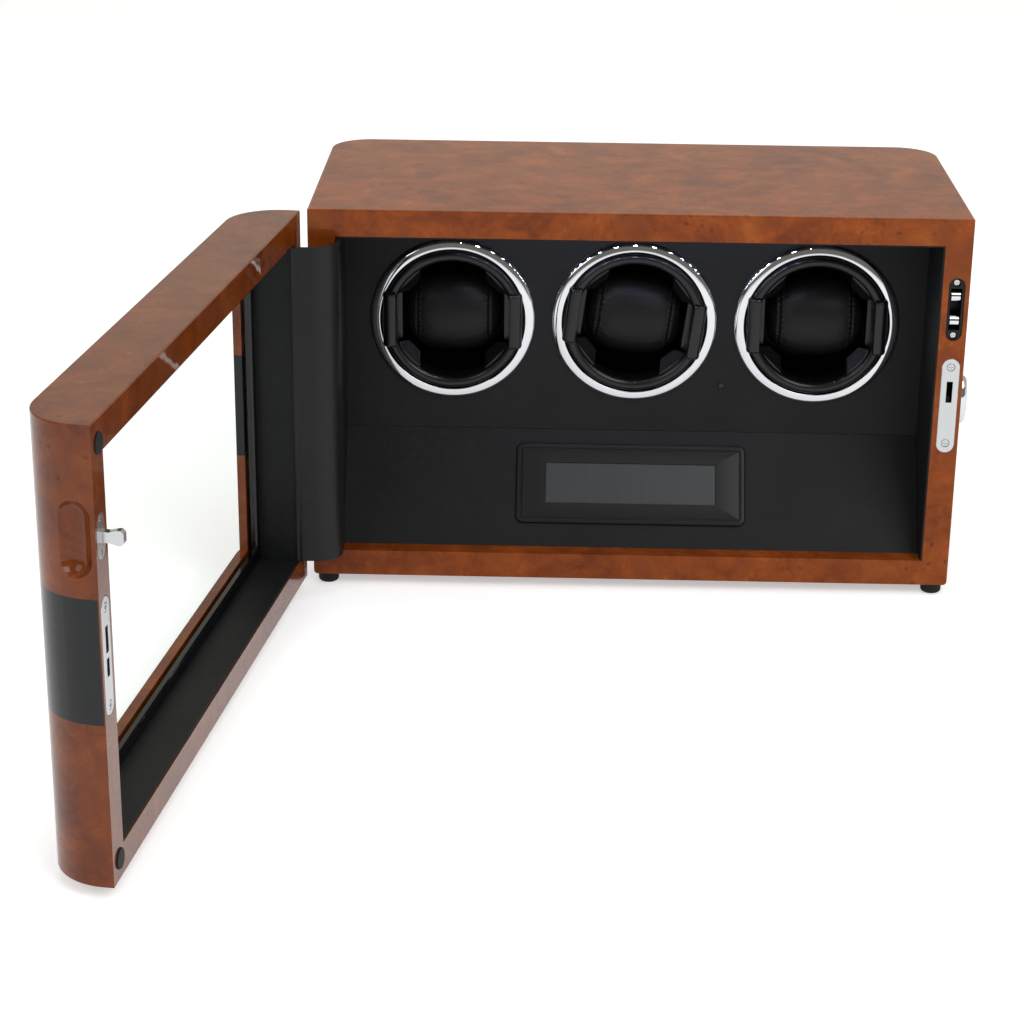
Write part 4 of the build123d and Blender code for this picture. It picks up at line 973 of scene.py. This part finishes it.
def makeCamera():
    yaw, pitch, roll = (radians(camera[key]) for key in ("yaw", "pitch", "roll"))
    forward = Vector((sin(yaw) * cos(pitch), cos(yaw) * cos(pitch), -sin(pitch)))
    level = Vector((cos(yaw), -sin(yaw), 0))
    upright = level.cross(forward)
    right = level * cos(roll) + upright * sin(roll)
    up = upright * cos(roll) - level * sin(roll)
    data = bpy.data.cameras.new("camera")
    data.lens = camera["focalMm"]
    data.sensor_width = camera["sensorMm"]
    data.clip_start, data.clip_end = 0.01, 50.0
    holder = linkedObject("camera", data)
    axes = Matrix((right, up, -forward)).transposed().to_4x4()
    holder.matrix_world = Matrix.Translation(Vector(camera["place"]) * mm) @ axes
    bpy.context.scene.camera = holder


makeCamera()

# Soft studio light from three large lamps.
lights = {
    "key": {"place": (1.1, -1.6, 1.8), "aim": (0.0, -0.1, 0.1), "size": 1.4, "watts": 22.0},
    "fill": {"place": (-1.3, -1.7, 1.3), "aim": (0.0, -0.1, 0.1), "size": 1.2, "watts": 9.0},
    "top": {"place": (0.0, 0.3, 2.2), "aim": (0.0, -0.1, 0.0), "size": 1.6, "watts": 12.0},
}
# The room, as seen and as mirrored: white at the horizon behind, dimmer above it, and darkest in front.
# backdropRise and behindEdge are shares of a view direction, upwards and backwards; floor sizes are metres.
room = {
    "horizon": 1.0, "high": 0.52, "backdropRise": (0.10, 0.22), "behindEdge": (-0.60, -0.10), "front": 0.18,
    "mirrored": "#FFF8E9", "fills": 0.48, "floor": "#F2F2F1", "floorGlow": 0.45, "floorMirrorGlow": 0.28,
    "floorHalf": 6.0, "floorGap": 0.0002,
}


def makeLights():
    for name, lamp in lights.items():
        data = bpy.data.lights.new(name, "AREA")
        data.shape, data.size, data.energy = "SQUARE", lamp["size"], lamp["watts"]
        holder = linkedObject(name, data)
        aim = Vector(lamp["aim"]) - Vector(lamp["place"])
        turn = aim.to_track_quat("-Z", "Y").to_matrix().to_4x4()
        holder.matrix_world = Matrix.Translation(lamp["place"]) @ turn


def makeWorld():
    world = bpy.data.worlds.new("studio")
    world.use_nodes = True
    tree = world.node_tree
    path = addNode(tree, "ShaderNodeLightPath").outputs
    direct = addNode(tree, "ShaderNodeMath", {0: path["Is Camera Ray"], 1: path["Is Transmission Ray"]},
                     operation="MAXIMUM")
    direction = addNode(tree, "ShaderNodeTexCoord").outputs["Generated"]
    axes = addNode(tree, "ShaderNodeSeparateXYZ", {"Vector": direction}).outputs
    (low, high), (ahead, past) = room["backdropRise"], room["behindEdge"]
    backdrop = addNode(tree, "ShaderNodeMapRange", {"Value": axes["Z"], "From Min": low, "From Max": high,
                                                    "To Min": room["horizon"], "To Max": room["high"]})
    behind = addNode(tree, "ShaderNodeMapRange", {"Value": axes["Y"], "From Min": ahead, "From Max": past})
    brighter = addNode(tree, "ShaderNodeMath", {0: backdrop, 1: room["front"]}, operation="SUBTRACT")
    reflected = addNode(tree, "ShaderNodeMath", {0: behind, 1: brighter, 2: room["front"]},
                        operation="MULTIPLY_ADD")
    indirect = addNode(tree, "ShaderNodeMix",
                       {"Factor": path["Is Glossy Ray"], 2: room["fills"], 3: reflected})
    strength = addNode(tree, "ShaderNodeMath", {0: direct, 1: indirect}, operation="MAXIMUM")
    background = tree.nodes["Background"]
    tree.links.new(strength.outputs[0], background.inputs["Strength"])
    tint = addNode(tree, "ShaderNodeMix", {"Factor": path["Is Glossy Ray"], 6: (1, 1, 1, 1),
                                           7: linearColour(room["mirrored"])}, data_type="RGBA")
    tree.links.new(tint.outputs[2], background.inputs["Color"])
    bpy.context.scene.world = world


# The floor: matt white paper, which glows a little to the camera and in mirrors so that it reads as white.
def makeFloor():
    material, tree, shader = newMaterial("whitePaperFloor", Roughness=0.8, Specular_IOR_Level=0.2,
                                         Base_Color=linearColour(room["floor"]), Emission_Color=(1, 1, 1, 1))
    path = addNode(tree, "ShaderNodeLightPath").outputs
    direct = addNode(tree, "ShaderNodeMath", {0: path["Is Camera Ray"], 1: path["Is Transmission Ray"]},
                     operation="MAXIMUM")
    seen = addNode(tree, "ShaderNodeMath", {0: direct, 1: room["floorGlow"]}, operation="MULTIPLY")
    mirrored = addNode(tree, "ShaderNodeMath", {0: path["Is Glossy Ray"], 1: room["floorMirrorGlow"]},
                       operation="MULTIPLY")
    glow = addNode(tree, "ShaderNodeMath", {0: seen, 1: mirrored}, operation="MAXIMUM")
    tree.links.new(glow.outputs[0], shader.inputs["Emission Strength"])
    half, low = room["floorHalf"], cadBox[0][2] - room["floorGap"]
    mesh = bpy.data.meshes.new("floor")
    mesh.from_pydata([(-half, -half, low), (half, -half, low), (half, half, low), (-half, half, low)], [],
                     [(0, 1, 2, 3)])
    mesh.materials.append(material)
    floor = linkedObject("floor", mesh)


makeLights()
makeWorld()
makeFloor()
bpy.context.scene.view_settings.view_transform = "Standard"
print("camera, light and floor made")
